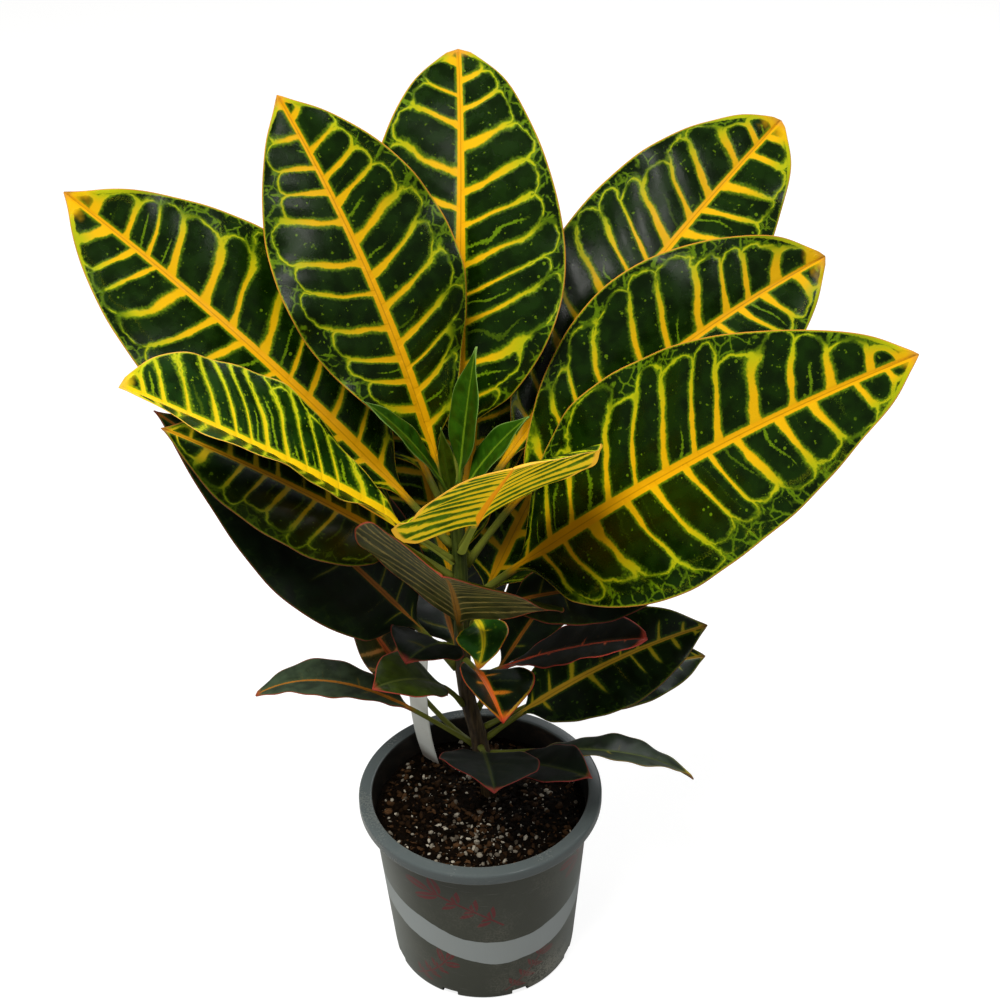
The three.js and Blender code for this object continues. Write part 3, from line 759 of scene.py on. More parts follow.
# %% The whole net: side veins and midrib
leaf_scale = over(net, spacing, 16.5)
near_tip = stripe(net, over(net, to_tip, gold), 0.2, 1.3)
flare = fade(net, share_out, 0.03, 0.14, 1.35, 1.0)
own_width = fade(net, vein_chance, 0.0, 1.0, 0.8, 1.12)
arch_width = fade(net, patches, 0.35, 0.6, 0.2, 0.62)
arch_width = times(net, arch_width, fade(net, share_out, 0.85, 1.0, 1.0, 0.5))
arch_share = times(net, fade(net, share_out, 0.6, 0.85), fade(net, given["Room reach"], 1.3, 1.0))
narrowing = times(net, flare, fade(net, share_out, 0.1, 0.6, 1.0, 0.72))
narrowing = times(net, narrowing, blend_values(arch_share, own_width, arch_width))
narrowing = times(net, narrowing, fade(net, leaf_noise(0.07, 3.0).outputs[0], 0.35, 0.65, 0.65, 1.3))
vein_half = times(net, given["Vein width"], leaf_scale, narrowing)
vein_half = calc(net, "MULTIPLY_ADD", near_tip, 0.9, vein_half)
hidden = less(net, 0.92, given["Vein share"])
shown = fade(net, less(net, vein_chance, hidden), 0.0, 0.08)
shown = times(net, shown, stripe(net, less(net, share_out, given["Vein reach"]), -0.2, 0.05))
past_vein = less(net, to_wall, times(net, vein_half, shown))
arch_gap = times(net, arch_share, fade(net, leaf_noise(0.08, 1.0).outputs[0], 0.5, 0.4))
core = stripe(net, calc(net, "MULTIPLY_ADD", feather, 0.8, past_vein), -0.5, 0.5)
core = times(net, core, times(net, shown, less(net, 1.0, arch_gap)))
fringe = stripe(net, calc(net, "MULTIPLY_ADD", feather, 2.8, past_vein), -0.5, 2.0)
fringe = times(net, fringe, times(net, shown, calc(net, "MULTIPLY_ADD", arch_gap, -0.5, 1.0)))

blade_share = over(net, along, plus(net, along, to_tip))
rib_half = times(net, given["Midrib width"], fade(net, blade_share, 0.0, 1.0, 1.0, 0.36))
past_rib = less(net, out, times(net, rib_half, leaf_scale))
rib = stripe(net, calc(net, "MULTIPLY_ADD", feather, 0.4, past_rib), -0.3, 0.3)
rib_fringe = stripe(net, calc(net, "MULTIPLY_ADD", feather, 2.2, past_rib), -0.3, 1.8)
rib_line = stripe(net, out, 0.1, 0.45)
print("group:", net.name, "has its veins")

# %% The whole net: loose veins, spurs and the outer net
loose_reach = less(net, times(net, chances[1], 0.75), share_out)
loose_half = times(net, smallest(net, largest(net, loose_reach, 0.0), 0.25), 1.5)
loose_line = calc(net, "ABSOLUTE", plus(net, offset, around_zero(bend[2], 0.9)))
past_loose = calc(net, "MULTIPLY_ADD", loose_line, spacing, times(net, feather, 2.6))
past_loose = less(net, past_loose, loose_half)
loose = times(net, stripe(net, past_loose, -0.1, 0.6), fade(net, loose_reach, 0.0, 0.12))
loose = times(net, loose, fade(net, chances[2], 0.5, 0.6))

to_boundary = times(net, less(net, 0.5, off_middle), spacing)
to_boundary = plus(net, to_boundary, around_zero(bend_small[1], 5.0))
spur = stripe(net, calc(net, "MULTIPLY_ADD", feather, 1.6, calc(net, "ABSOLUTE", to_boundary)), 0.3, 1.1)
spur = times(net, spur, fade(net, outside, 0.0, 0.5), fade(net, patches, 0.38, 0.5))

shift = vectors("MULTIPLY", leaf_noise(0.25, 2.0).outputs["Color"], (3.0, 3.0, 3.0))
warped = vectors("ADD", on_leaf, shift)
cells = node(net, "TexVoronoi", {"Vector": warped, "Scale": 0.15}, feature="DISTANCE_TO_EDGE")
outer_net = calc(net, "MULTIPLY_ADD", feather, 0.16, cells.outputs["Distance"])
outer_net = stripe(net, outer_net, 0.0, 0.1)
outer_net = times(net, outer_net, fade(net, outside, 0.0, 1.0))
outer_net = times(net, outer_net, fade(net, patches, 0.4, 0.52))

dots = node(net, "TexVoronoi", {"Vector": on_leaf, "Scale": 0.34})
dot_size = times(net, power(net, split(dots.outputs["Color"])[0], 3.0), 0.34)
flecks = stripe(net, less(net, dots.outputs["Distance"], dot_size), -0.08, 0.03)
flecks = times(net, flecks, fade(net, leaf_noise(0.09, 2.0).outputs[0], 0.48, 0.6))
blots = fade(net, leaf_noise(0.4, 4.0).outputs[0], 0.66, 0.73)
print("group:", net.name, "has its small marks")

# %% The whole net: margin and tip
to_margin = less(net, half, out)
from_margin = calc(net, "MULTIPLY_ADD", feather, 1.4, to_margin)
from_margin = calc(net, "MULTIPLY_ADD", near_tip, -2.2, from_margin)
margin = stripe(net, from_margin, 0.5, 1.3)
edge = stripe(net, over(net, to_margin, given["Edge width"]), 0.6, 1.3)
tip = plus(net, over(net, to_tip, gold), around_zero(patches, 0.5))
tip = stripe(net, tip, 0.1, 0.42)
very_tip = stripe(net, to_tip, 1.0, 5.0)
print("group:", net.name, "has its margin")

# %% The whole net: colours
fine = largest(net, times(net, spur, 0.8), times(net, outer_net, 0.75), times(net, loose, 0.9))
specks = largest(net, times(net, flecks, 0.8), times(net, blots, 0.7))
specks = times(net, specks, given["Fleck amount"])
green_marks = largest(net, fringe, rib_fringe, times(net, fine, given["Net amount"]))
green_marks = largest(net, green_marks, specks, times(net, margin, 0.9))
uneven = shaded(given["Field"], fade(net, patches, 0.3, 0.7, 0.6, 1.4))
colour = blend(net, green_marks, uneven, given["Fringe"])
vein_colour = blend(net, fade(net, share_out, 0.25, 0.8), given["Vein"], given["Vein end"])
gold_margin = times(net, margin, fade(net, near_tip, 0.0, 1.0, 0.35, 1.0))
colour = blend(net, largest(net, core, gold_margin), colour, vein_colour)
colour = blend(net, times(net, tip, 0.9), colour, given["Vein"])
shaded_rib = shaded(given["Midrib"], fade(net, rib_line, 0.0, 1.0, 1.0, 0.7))
colour = blend(net, rib, colour, shaded_rib)
colour = blend(net, largest(net, edge, times(net, very_tip, 0.8)), colour, given["Edge"])
colour = blend(net, fade(net, along, 7.0, -3.0), colour, given["Stalk"])
sunk = times(net, largest(net, core, times(net, fringe, 0.5)), -0.5)
relief_height = calc(net, "MULTIPLY_ADD", leaf_noise(1.6, 3.0).outputs[0], 0.2, sunk)
fill(net, result, {
    "Color": colour, "Vein mask": largest(net, core, rib), "Height": relief_height,
    "Sheen mask": patches,
})
print("group:", net.name, len(net.nodes), "nodes")

# %% [markdown]
# ## Leaf materials
# A croton colours its leaves by age. Young ones are plain green, grown ones are dark green with
# golden veins, old ones are nearly black with orange ribs and red edges. So there are several kinds,
# and each has an upper and an under side. Some kinds carry painted light as well: leaves that lie
# deep in the plant's shade are painted nearly black, and two drooping kinds have a painted grey sheen
# on their fields. On the under side the veins stand out as pale straight lines that run to the
# margin. The thin gold leaves let some daylight through: a little emission in the same pattern
# stands for that. The glow lights nothing else, so the renderer is told not to treat these leaves as
# lamps, which saves time. The surface is waxy, glossier between the veins.

# %% Leaf materials: how one is made
def rgb(red, green, blue):
    """A colour as seen on a screen, 0 to 255, turned into light."""
    shares = (c / 255 for c in (red, green, blue))
    return tuple(((c + 0.055) / 1.055) ** 2.4 if c > 0.04 else c / 12.92 for c in shares) + (1.0,)


LEAF_COLOURS = ["Field", "Fringe", "Vein", "Vein end", "Midrib", "Edge", "Stalk"]
OLIVE_STALK = (100, 106, 36)
WAX_SHEEN = 0.26
VEIN_DULLNESS = 0.14
RELIEF_DEPTH = 0.0006


def leaf_material(name, colours, rough=0.45, bump=0.4, glow=0.0, **amounts):
    """colours go by LEAF_COLOURS; amounts are the other inputs of the group Leaf veins."""
    material, tree, shader = new_material(name)
    paint = {title: rgb(*colour) for title, colour in zip(LEAF_COLOURS, [*colours, OLIVE_STALK])}
    paint.update({title.replace("_", " ").capitalize(): amount for title, amount in amounts.items()})
    marks = place_group(tree, net, paint)
    roughness = fade(tree, marks["Vein mask"], 0.0, 1.0, rough, rough + VEIN_DULLNESS)
    roughness = plus(tree, roughness, fade(tree, marks["Sheen mask"], 0.3, 0.7, -0.06, 0.06))
    fill(tree, shader, {
        "Base Color": marks["Color"], "Roughness": roughness, "Specular IOR Level": WAX_SHEEN,
    })
    relief(tree, shader, marks["Height"], bump, RELIEF_DEPTH)
    if glow:
        fill(tree, shader, {"Emission Color": marks["Color"], "Emission Strength": glow})
        material.cycles.emission_sampling = "NONE"
    return material


print("a leaf has these colours:", LEAF_COLOURS)

# %% Leaf materials: green and gold
green_gold = (
    leaf_material(
        "green_gold_upper", [
            (11, 29, 1), (88, 116, 8), (203, 156, 6), (152, 156, 10), (208, 150, 6), (178, 122, 40),
        ],
        rough=0.25, bump=0.5, vein_width=1.5, midrib_width=3.2,
    ),
    leaf_material(
        "green_gold_under", [
            (40, 58, 22), (88, 100, 32), (150, 142, 50), (140, 132, 50), (160, 142, 54), (170, 104, 52),
        ],
        vein_width=1.1, midrib_width=2.8, room_reach=1.8, net_amount=0.2, fleck_amount=0.2,
    ),
)
lemon_upper = leaf_material(
    "lemon_upper", [
        (16, 42, 3), (124, 152, 14), (220, 192, 16), (190, 190, 20), (234, 192, 14), (214, 160, 60),
    ],
    rough=0.3, bump=0.5, vein_width=1.4, midrib_width=7.0, room_reach=1.25, fleck_amount=1.2,
)
lemon = (
    lemon_upper,
    leaf_material(
        "lemon_under", [
            (44, 56, 12), (84, 92, 18), (120, 116, 24), (150, 140, 24), (206, 140, 30), (232, 198, 24),
        ],
        glow=0.6, vein_width=1.4, midrib_width=3.0,
        room_reach=1.8, net_amount=0.0, fleck_amount=0.2, edge_width=8.0,
    ),
)
gold = (
    lemon_upper,
    leaf_material(
        "gold_under", [
            (60, 88, 14), (144, 156, 20), (226, 186, 26), (226, 190, 34), (232, 150, 20), (232, 176, 50),
        ],
        glow=0.7, vein_width=3.9, midrib_width=5.0,
        room_reach=1.8, net_amount=1.0, fleck_amount=0.6, edge_width=2.6,
    ),
)
fresh = (
    leaf_material(
        "fresh_upper", [
            (30, 70, 14), (110, 140, 24), (226, 200, 30), (160, 170, 30), (226, 206, 30), (220, 120, 40),
        ],
        rough=0.34, vein_width=0.5, midrib_width=2.8, vein_share=0.3,
        vein_reach=0.4, net_amount=0.3, fleck_amount=0.5,
    ),
    green_gold[1],
)
print("green and gold leaf materials ready")

# %% Leaf materials: dark leaves of middle height
olive = (
    leaf_material(
        "olive_upper", [
            (8, 27, 2), (72, 98, 10), (200, 172, 18), (124, 138, 14), (216, 158, 24), (132, 84, 38),
        ],
        rough=0.34, vein_width=1.3, midrib_width=2.6, vein_share=0.85,
        net_amount=0.6, fleck_amount=0.9,
    ),
    leaf_material(
        "olive_under", [
            (48, 52, 24), (80, 84, 40), (140, 132, 60), (130, 122, 60), (134, 96, 40), (176, 76, 58),
        ],
        vein_width=0.9, midrib_width=2.4, room_reach=1.8, net_amount=0.1, fleck_amount=0.1,
    ),
)
dark = (
    leaf_material(
        "dark_upper", [
            (5, 19, 2), (36, 54, 8), (104, 100, 20), (66, 78, 14), (150, 92, 28), (116, 46, 34),
        ],
        rough=0.5, vein_width=0.6, midrib_width=1.6, vein_share=0.4,
        vein_reach=0.6, net_amount=0.3, fleck_amount=0.7,
    ),
    leaf_material(
        "dark_under", [
            (76, 78, 34), (100, 96, 44), (198, 174, 94), (180, 160, 86), (176, 124, 42), (200, 90, 56),
        ],
        vein_width=1.1, midrib_width=3.4,
        room_reach=1.8, net_amount=0.1, fleck_amount=0.1, edge_width=0.8,
    ),
)
# Painted sheen, in part: the grey-green field stands for the grey shine on this drooping leaf's wax; the
# orange midrib, the veins and the red edge are its own colours.
sheen_grey = (
    leaf_material(
        "sheen_grey_upper", [
            (56, 70, 50), (74, 86, 54), (130, 112, 50), (90, 94, 54), (204, 128, 40), (160, 66, 44),
        ],
        rough=0.4, vein_width=0.5, midrib_width=1.8, vein_share=0.15,
        vein_reach=0.5, net_amount=0.2, fleck_amount=0.8,
    ),
    olive[1],
)
print("dark leaf materials ready")

# %% Leaf materials: dark leaves near the soil
# Painted sheen, in part: the grey-green field stands for the grey shine on this drooping leaf's wax; the
# veins, the pale green midrib and the edge are its own colours.
sheen_reed = (
    leaf_material(
        "sheen_reed_upper", [
            (40, 54, 34), (66, 78, 40), (196, 176, 40), (90, 98, 50), (104, 118, 56), (150, 120, 50),
        ],
        rough=0.4, vein_width=0.5, midrib_width=1.6, vein_share=0.15,
        vein_reach=0.5, net_amount=0.2, fleck_amount=0.5,
    ),
    olive[1],
)
spotted = (
    leaf_material(
        "spotted_upper", [
            (9, 27, 3), (60, 90, 12), (184, 164, 24), (116, 132, 18), (204, 160, 40), (120, 84, 40),
        ],
        rough=0.34, vein_width=1.0, midrib_width=2.6, vein_share=0.75,
        vein_reach=0.6, net_amount=0.4, fleck_amount=1.4,
    ),
    olive[1],
)
# Painted shade: the leaves deep under the others get a nearly black field and dull veins and midrib,
# standing for the shadow they lie in; the thin red edge is their own colour.
shade = (
    leaf_material(
        "painted_shade_upper", [
            (3, 10, 2), (18, 30, 8), (62, 58, 18), (42, 50, 14), (50, 56, 22), (112, 38, 36),
        ],
        rough=0.6, vein_width=0.5, midrib_width=1.2, vein_share=0.3,
        vein_reach=0.5, net_amount=0.2, fleck_amount=0.6,
    ),
    dark[1],
)
moss_leaf = leaf_material(
    "moss_leaf", [
        (42, 54, 12), (36, 48, 12), (58, 72, 24), (50, 64, 20), (74, 84, 34), (150, 56, 44),
    ],
    rough=0.5, vein_width=0.4, midrib_width=1.6, vein_share=0.5, net_amount=0.2, fleck_amount=0.1,
)
moss = (moss_leaf, moss_leaf)
print("materials of the low leaves ready")

# %% Leaf materials: orange and young leaves
ember = (
    leaf_material(
        "ember_upper", [
            (56, 62, 28), (116, 100, 40), (222, 150, 80), (200, 150, 80), (226, 112, 50), (200, 74, 56),
        ],
        rough=0.36, vein_width=1.3, midrib_width=3.2, vein_share=0.9,
        room_reach=1.5, net_amount=0.8, fleck_amount=0.8,
    ),
    olive[1],
)
spark = (
    leaf_material(
        "spark_upper", [
            (8, 26, 8), (70, 84, 18), (232, 132, 26), (200, 150, 30), (236, 110, 28), (196, 56, 44),
        ],
        rough=0.36, vein_width=1.0, midrib_width=3.6, vein_share=0.3,
        vein_reach=0.5, net_amount=0.4, fleck_amount=1.2,
    ),
    olive[1],
)
# Partly painted shade: the nearly black field stands for the deep shade this curled leaf lies in; the
# red veins, midrib and edge are its own colours.
wine_in_shade = (
    leaf_material(
        "wine_in_shade_upper", [
            (8, 13, 5), (48, 36, 16), (180, 76, 36), (120, 56, 30), (176, 66, 40), (186, 66, 56),
        ],
        rough=0.42, vein_width=0.7, midrib_width=1.6, vein_share=0.3,
        vein_reach=0.3, net_amount=0.2, fleck_amount=1.2,
    ),
    olive[1],
)
young = (
    leaf_material(
        "young_upper", [
            (32, 66, 6), (38, 72, 8), (44, 78, 10), (42, 78, 10), (104, 136, 26), (112, 142, 70),
            (86, 108, 28),
        ],
        rough=0.36, bump=0.3, vein_width=0.2, midrib_width=1.2,
        vein_reach=0.6, net_amount=0.0, fleck_amount=0.0, edge_width=0.3,
    ),
    leaf_material(
        "young_under", [
            (52, 80, 10), (56, 84, 12), (62, 90, 14), (60, 88, 12), (90, 118, 30), (92, 116, 40),
            (80, 102, 28),
        ],
        rough=0.44, bump=0.3, vein_width=0.2, midrib_width=1.2,
        net_amount=0.0, fleck_amount=0.0, edge_width=0.3,
    ),
)
print("orange and young leaf materials ready")

# %% Leaf materials: which leaf has which
LEAF_MATERIALS = dict(
    green_gold=green_gold, lemon=lemon, gold=gold, fresh=fresh,
    olive=olive, dark=dark, sheen_grey=sheen_grey, sheen_reed=sheen_reed, spotted=spotted, shade=shade, moss=moss,
    ember=ember, spark=spark, wine_in_shade=wine_in_shade, young=young,
)
LEAF_SLOTS = {kind: "dark_leaf" for kind in LEAF_MATERIALS}
LEAF_SLOTS.update(
    green_gold="green_gold_leaf", fresh="green_gold_leaf", lemon="gold_leaf", gold="gold_leaf",
    young="young_leaf",
)
print("leaf materials:", sorted({m.name for pair in LEAF_MATERIALS.values() for m in pair}))

# %% Making the leaves
def give(piece, name, values):
    """Writes a number or a vector on every vertex, where a shader can read it by name."""
    kind, key = ("FLOAT_VECTOR", "vector") if np.ndim(values) > 1 else ("FLOAT", "value")
    layer = piece.data.attributes.new(name, kind, "POINT")
    layer.data.foreach_set(key, np.asarray(values, np.float32).ravel())


def make_leaf(row):
    rings, vein_place, leaf_size = leaf_points(row)
    points, faces = closed_tube(rings)
    kind, count = row["kind"], rings.shape[1]
    paint, slot = LEAF_MATERIALS[kind], LEAF_SLOTS[kind]
    piece = new_piece(row["name"] + "_blade", points, faces, paint, slot, [row["name"]])
    under = np.zeros(len(faces), np.int32)
    under[:-2] = np.arange(len(faces) - 2) % count < count // 2 - 1
    piece.data.polygons.foreach_set("material_index", under)
    give(piece, "vein_place", vein_place)
    give(piece, "leaf_size", leaf_size)
    give(piece, "leaf_seed", np.full(len(points), row["seed"]))
    give(piece, "gold_reach", np.full(len(points), row["gold"]))
    return piece


leaves = [make_leaf(row) for row in LEAVES]
print("leaves:", len(leaves), "triangles:", sum(map(triangles, leaves)))

# %% [markdown]
# ## Stem
# The stem is a young trunk. Each leaf leaves a swelling where its stalk sits, and between those the
# bark has fine upright ridges. A tube with a plain bevel would show none of this, so the rings are
# shaped in code: every ring asks how near the closest leaf is, and bulges there.

# %% Stem
RIDGES, RIDGE_HEIGHT, RIDGE_TWIST = 9, 0.12, 0.02
SCAR_BULGE, SCAR_HALF_ANGLE, SCAR_HALF_HEIGHT, SCAR_DROP = 0.45, 0.8, 3.2, 1.5


def stem_rings(sides=40, step=0.9):
    heights = np.arange(STEM_LINE[0, 2], STEM_LINE[-1, 2] + step / 2, step)
    centres = np.array([stem_at(h) for h in heights])
    angle = around(sides)
    ridges = RIDGE_HEIGHT * np.sin(RIDGES * angle + RIDGE_TWIST * heights[:, None])
    radius = stem_radius(heights)[:, None] + ridges
    for row in LEAVES:
        facing = (angle - math.radians(row["heading"]) + np.pi) % (2 * np.pi) - np.pi
        above_scar = heights - row["node"] + SCAR_DROP
        bulge = np.exp(-((facing / SCAR_HALF_ANGLE) ** 2))
        bulge = bulge * np.exp(-((above_scar / SCAR_HALF_HEIGHT) ** 2))[:, None]
        radius = radius + SCAR_BULGE * bulge
    return centres[:, None] + round_points(1.0, angle, 0.0) * radius[..., None]


stem_material, tree, shader = new_material("ridged_bark")
spot = here(tree)
height = node(tree, "SeparateXYZ", {0: spot}).outputs[2]
ridges = noise(tree, stretched(tree, spot, (700.0, 700.0, 60.0)), 1.0, 4.0)
spots = noise(tree, spot, 260.0, 3.0)
brown = blend(tree, fade(tree, ridges, 0.35, 0.7), rgb(42, 30, 18), rgb(86, 70, 44))
green = blend(tree, fade(tree, ridges, 0.35, 0.7), rgb(46, 58, 18), rgb(78, 90, 32))
green_share = plus(tree, fade(tree, height, 0.13, 0.28), less(tree, spots, 0.5))
fill(tree, shader, {
    "Base Color": blend(tree, fade(tree, green_share, 0.2, 0.8), brown, green),
    "Roughness": fade(tree, spots, 0.3, 0.7, 0.55, 0.75),
})
relief(tree, shader, ridges, 0.6, 0.0006)

stem = new_piece("ridged_stem", *closed_tube(stem_rings()), [stem_material], "stem_bark", ["stem"])
print("stem triangles:", triangles(stem))

# %% [markdown]
# ## Growing tip
# Between the youngest leaves sits a bud, a small egg wrapped in leaf scales. Three low waves that
# wind round it are enough to show the scales at this size.

# %% Growing tip
bud_material, tree, shader = new_material("bud_green")
spot = here(tree)
mottle = noise(tree, spot, 500.0, 3.0)
fill(tree, shader, {
    "Base Color": blend(tree, mottle, rgb(60, 110, 26), rgb(120, 160, 50)),
    "Roughness": fade(tree, mottle, 0.3, 0.7, 0.35, 0.5),
})

BUD_RADIUS, BUD_HEIGHT, BUD_SCALES, SCALE_HEIGHT = 2.8, 6.4, 3, 0.06
BUD_OFFSET = np.array([-1.0, -0.5, -0.4])
share = np.linspace(0.02, 0.98, 28)[:, None]
angle = around(36)
scales = 1 + SCALE_HEIGHT * np.sin(BUD_SCALES * angle + 5 * share)
bud_radius = BUD_RADIUS * np.sin(np.pi * share) ** 0.8 * scales
bud_rings = round_points(bud_radius, angle, BUD_HEIGHT / 2 * (1 - np.cos(np.pi * share)))
bud_shape = closed_tube(bud_rings + (stem_at(STEM_LINE[-1, 2]) + BUD_OFFSET))
bud = new_piece("growing_tip", *bud_shape, [bud_material], "young_leaf", ["crown_bud"])
print("bud triangles:", triangles(bud))

# %% [markdown]
# ## Pot
# The pot is blow-moulded plastic: one thin wall, a rolled rim, a rounded foot. Turning a profile
# round an axis gives that shape, and the profile is a list of short arcs. Holes and notches are cut
# with a Boolean modifier, since a lathe can only make what is round.

# %% Pot: the turned shell
POT_HEIGHT, BASE_RADIUS, MOUTH_RADIUS, WALL, POT_FLOOR = 110.0, 50.0, 59.0, 1.4, 2.4
LIP_RADIUS, LIP_HEIGHT, LIP_ROUND, LIP_FLARE = 65.0, 6.0, 1.6, 1.0
FOOT_ROUND, FOOT_RING = 2.0, 12.0
UNDER_LIP_ROUND = 1.6
POT_SIDES = 180


def wall_radius(z):
    return mix(BASE_RADIUS, MOUTH_RADIUS, z / POT_HEIGHT)


def arc(centre, radius, start, end, steps=6):
    turn = np.radians(np.linspace(start, end, steps + 1))
    return [(centre[0] + radius * math.cos(a), centre[1] + radius * math.sin(a)) for a in turn]


def pot_profile():
    under_lip = POT_HEIGHT - LIP_HEIGHT
    inner_mouth = wall_radius(POT_HEIGHT) - WALL
    profile = [(BASE_RADIUS - FOOT_ROUND - FOOT_RING, 0.0)]
    profile += arc((BASE_RADIUS - FOOT_ROUND, FOOT_ROUND), FOOT_ROUND, -90, -4)
    profile += [(wall_radius(z), z) for z in np.linspace(6, under_lip - 3, 20)]
    corner = (wall_radius(under_lip) + UNDER_LIP_ROUND, under_lip - LIP_FLARE - UNDER_LIP_ROUND)
    profile += arc(corner, UNDER_LIP_ROUND, 180, 90, 4)
    profile += arc((LIP_RADIUS - LIP_ROUND, under_lip - LIP_FLARE + LIP_ROUND), LIP_ROUND, -90, 0)
    profile += arc((LIP_RADIUS - LIP_ROUND, POT_HEIGHT - LIP_ROUND), LIP_ROUND, 0, 90)
    profile += arc((inner_mouth + LIP_ROUND, POT_HEIGHT - LIP_ROUND), LIP_ROUND, 90, 180)
    profile += [(wall_radius(z) - WALL, z) for z in np.linspace(under_lip, POT_FLOOR, 12)]
    profile += [(BASE_RADIUS - FOOT_ROUND - FOOT_RING, POT_FLOOR)]
    return np.array(profile)


profile = pot_profile()
shell_rings = round_points(profile[:, :1], around(POT_SIDES), profile[:, 1:])
shell_points, shell_faces = closed_tube(shell_rings)
print("pot rings:", len(profile), "points:", len(shell_points))

# %% [markdown]
# ## Print on the pot
# Growers' pots often carry a simple print. This one has a pale ribbon that winds round the pot, and
# dark red sprigs, each a stem with pairs of small oval leaves. A print has no thickness worth
# modelling, so it is colour only, drawn from the angle round the pot and the height. `Printed
# sprig` draws one sprig in its own cell of that unrolled wall.

# %% Print: one sprig
sprig, given, result = new_group(
    "Printed sprig",
    [("Across", "Float", 0.0), ("Up", "Float", 0.0), ("Lean", "Float", 0.5), ("Size", "Float", 1.0)],
    [("Ink", "Float")],
)
STEM_BEND, STEM_MIDDLE = 0.012, -2.5
LEAFLET_STEP, LEAFLET_GAP, LEAFLET_TURN = 5.0, 0.6, 0.75
LEAFLET_HALF, LEAFLET_HALF_WIDTH = 3.2, 1.35
TOP_LEAFLET_FROM, TOP_HALF_WIDTH = 7.5, 1.5
cos_lean, sin_lean = calc(sprig, "COSINE", given["Lean"]), calc(sprig, "SINE", given["Lean"])
across = over(sprig, given["Across"], given["Size"])
up = over(sprig, given["Up"], given["Size"])
x = less(sprig, times(sprig, across, cos_lean), times(sprig, up, sin_lean))
y = plus(sprig, times(sprig, across, sin_lean), times(sprig, up, cos_lean))
x = plus(sprig, x, times(sprig, power(sprig, y, 2.0), STEM_BEND))


def oval(from_x, from_y, turn, long_half, short_half):
    """1 inside an oval, 0 outside, with an unprinted line along its middle."""
    cosine, sine = math.cos(turn), math.sin(turn)
    along_oval = plus(sprig, times(sprig, from_x, cosine), times(sprig, from_y, sine))
    off_oval = less(sprig, times(sprig, from_y, cosine), times(sprig, from_x, sine))
    from_middle = over(sprig, less(sprig, along_oval, long_half + LEAFLET_GAP), long_half)
    off_middle = over(sprig, off_oval, short_half)
    far = plus(sprig, power(sprig, from_middle, 2.0), power(sprig, off_middle, 2.0))
    inside = stripe(sprig, far, 0.85, 1.1)
    return times(sprig, inside, fade(sprig, calc(sprig, "ABSOLUTE", off_oval), 0.12, 0.3))


pair = calc(sprig, "ROUND", over(sprig, y, LEAFLET_STEP))
pair = smallest(sprig, largest(sprig, pair, -2.0), 1.0)
from_pair = less(sprig, y, times(sprig, pair, LEAFLET_STEP))
to_stem = calc(sprig, "ABSOLUTE", x)
leaflets = oval(to_stem, from_pair, LEAFLET_TURN, LEAFLET_HALF, LEAFLET_HALF_WIDTH)
top_leaflet = oval(less(sprig, y, TOP_LEAFLET_FROM), x, 0.0, LEAFLET_HALF, TOP_HALF_WIDTH)
to_stem_middle = calc(sprig, "ABSOLUTE", less(sprig, y, STEM_MIDDLE))
on_stem = stripe(sprig, to_stem, 0.2, 0.4)
on_stem = times(sprig, on_stem, stripe(sprig, to_stem_middle, 10.6, 11.2))
fill(sprig, result, {"Ink": largest(sprig, leaflets, top_leaflet, on_stem)})
print("group:", sprig.name, len(sprig.nodes), "nodes")

# %% [markdown]
# ## Dust and scuffs
# A pot that stood in a nursery is never clean. `Dust and scuffs` gives two masks that the pot, its
# inside and the label share: soft pale dust that lies in patches, and thin scratches.

# %% Dust and scuffs
wear, given, result = new_group(
    "Dust and scuffs",
    [("Patch size", "Float", 30.0), ("Dust", "Float", 0.5), ("Scuffs", "Float", 0.5)],
    [("Dust mask", "Float"), ("Scuff mask", "Float"), ("Grain", "Float")],
)
spot = here(wear)
patch = noise(wear, spot, given["Patch size"], 5.0, 0.65)
speckle = noise(wear, spot, 900.0, 2.0)
dust = times(wear, fade(wear, patch, 0.45, 0.75), fade(wear, speckle, 0.35, 0.65))
long_spot = stretched(wear, spot, (60.0, 60.0, 900.0), (0.3, 0.2, 0.0))
scratch = fade(wear, noise(wear, long_spot, 1.0, 3.0), 0.66, 0.74)
fill(wear, result, {
    "Dust mask": times(wear, dust, given["Dust"]), "Scuff mask": times(wear, scratch, given["Scuffs"]),
    "Grain": speckle,
})
print("group:", wear.name, len(wear.nodes), "nodes")

# %% [markdown]
# ## The pot's finish
# The plastic is one dark taupe, and everything else lies on it like coats of paint: the ribbon, the
# ink, the greyer rim, the dust, the scuffs. So the colours are blended in that order, each with a
# mask. The last coat is a painted sheen: the wall is drawn paler where it turns away from the eye,
# as light glancing off such plastic would make it look. The Layer Weight node gives the mask for it.

# %% Pot: where the print lies
PRINT_RADIUS = 54.0
RIBBON_HEIGHT, RIBBON_SWING, RIBBON_WAVES, RIBBON_START = 47.0, 8.0, 2.0, 0.9
SPRIG_ROWS = [
    # how many, how far along the wall, height, lean, size
    (4, 12.0, 79.0, -1.1, 2.1),
    (6, 0.0, 20.0, 0.7, 1.6),
]
pot_material, tree, shader = new_material("taupe_pot_plastic")
spot = node(tree, "SeparateXYZ", {0: here(tree)}).outputs
height = times(tree, spot[2], 1 / MM)
angle = calc(tree, "ARCTAN2", spot[1], spot[0])
round_wall = times(tree, angle, PRINT_RADIUS)
wobble = noise(tree, here(tree), 45.0, 4.0)
ribbon_turn = calc(tree, "MULTIPLY_ADD", angle, RIBBON_WAVES, RIBBON_START)
ribbon_line = calc(tree, "SINE", ribbon_turn)
ribbon_line = calc(tree, "MULTIPLY_ADD", ribbon_line, RIBBON_SWING, RIBBON_HEIGHT)
to_ribbon = calc(tree, "ABSOLUTE", less(tree, height, ribbon_line))
ribbon_half = calc(tree, "MULTIPLY_ADD", wobble, 5.0, 6.5)
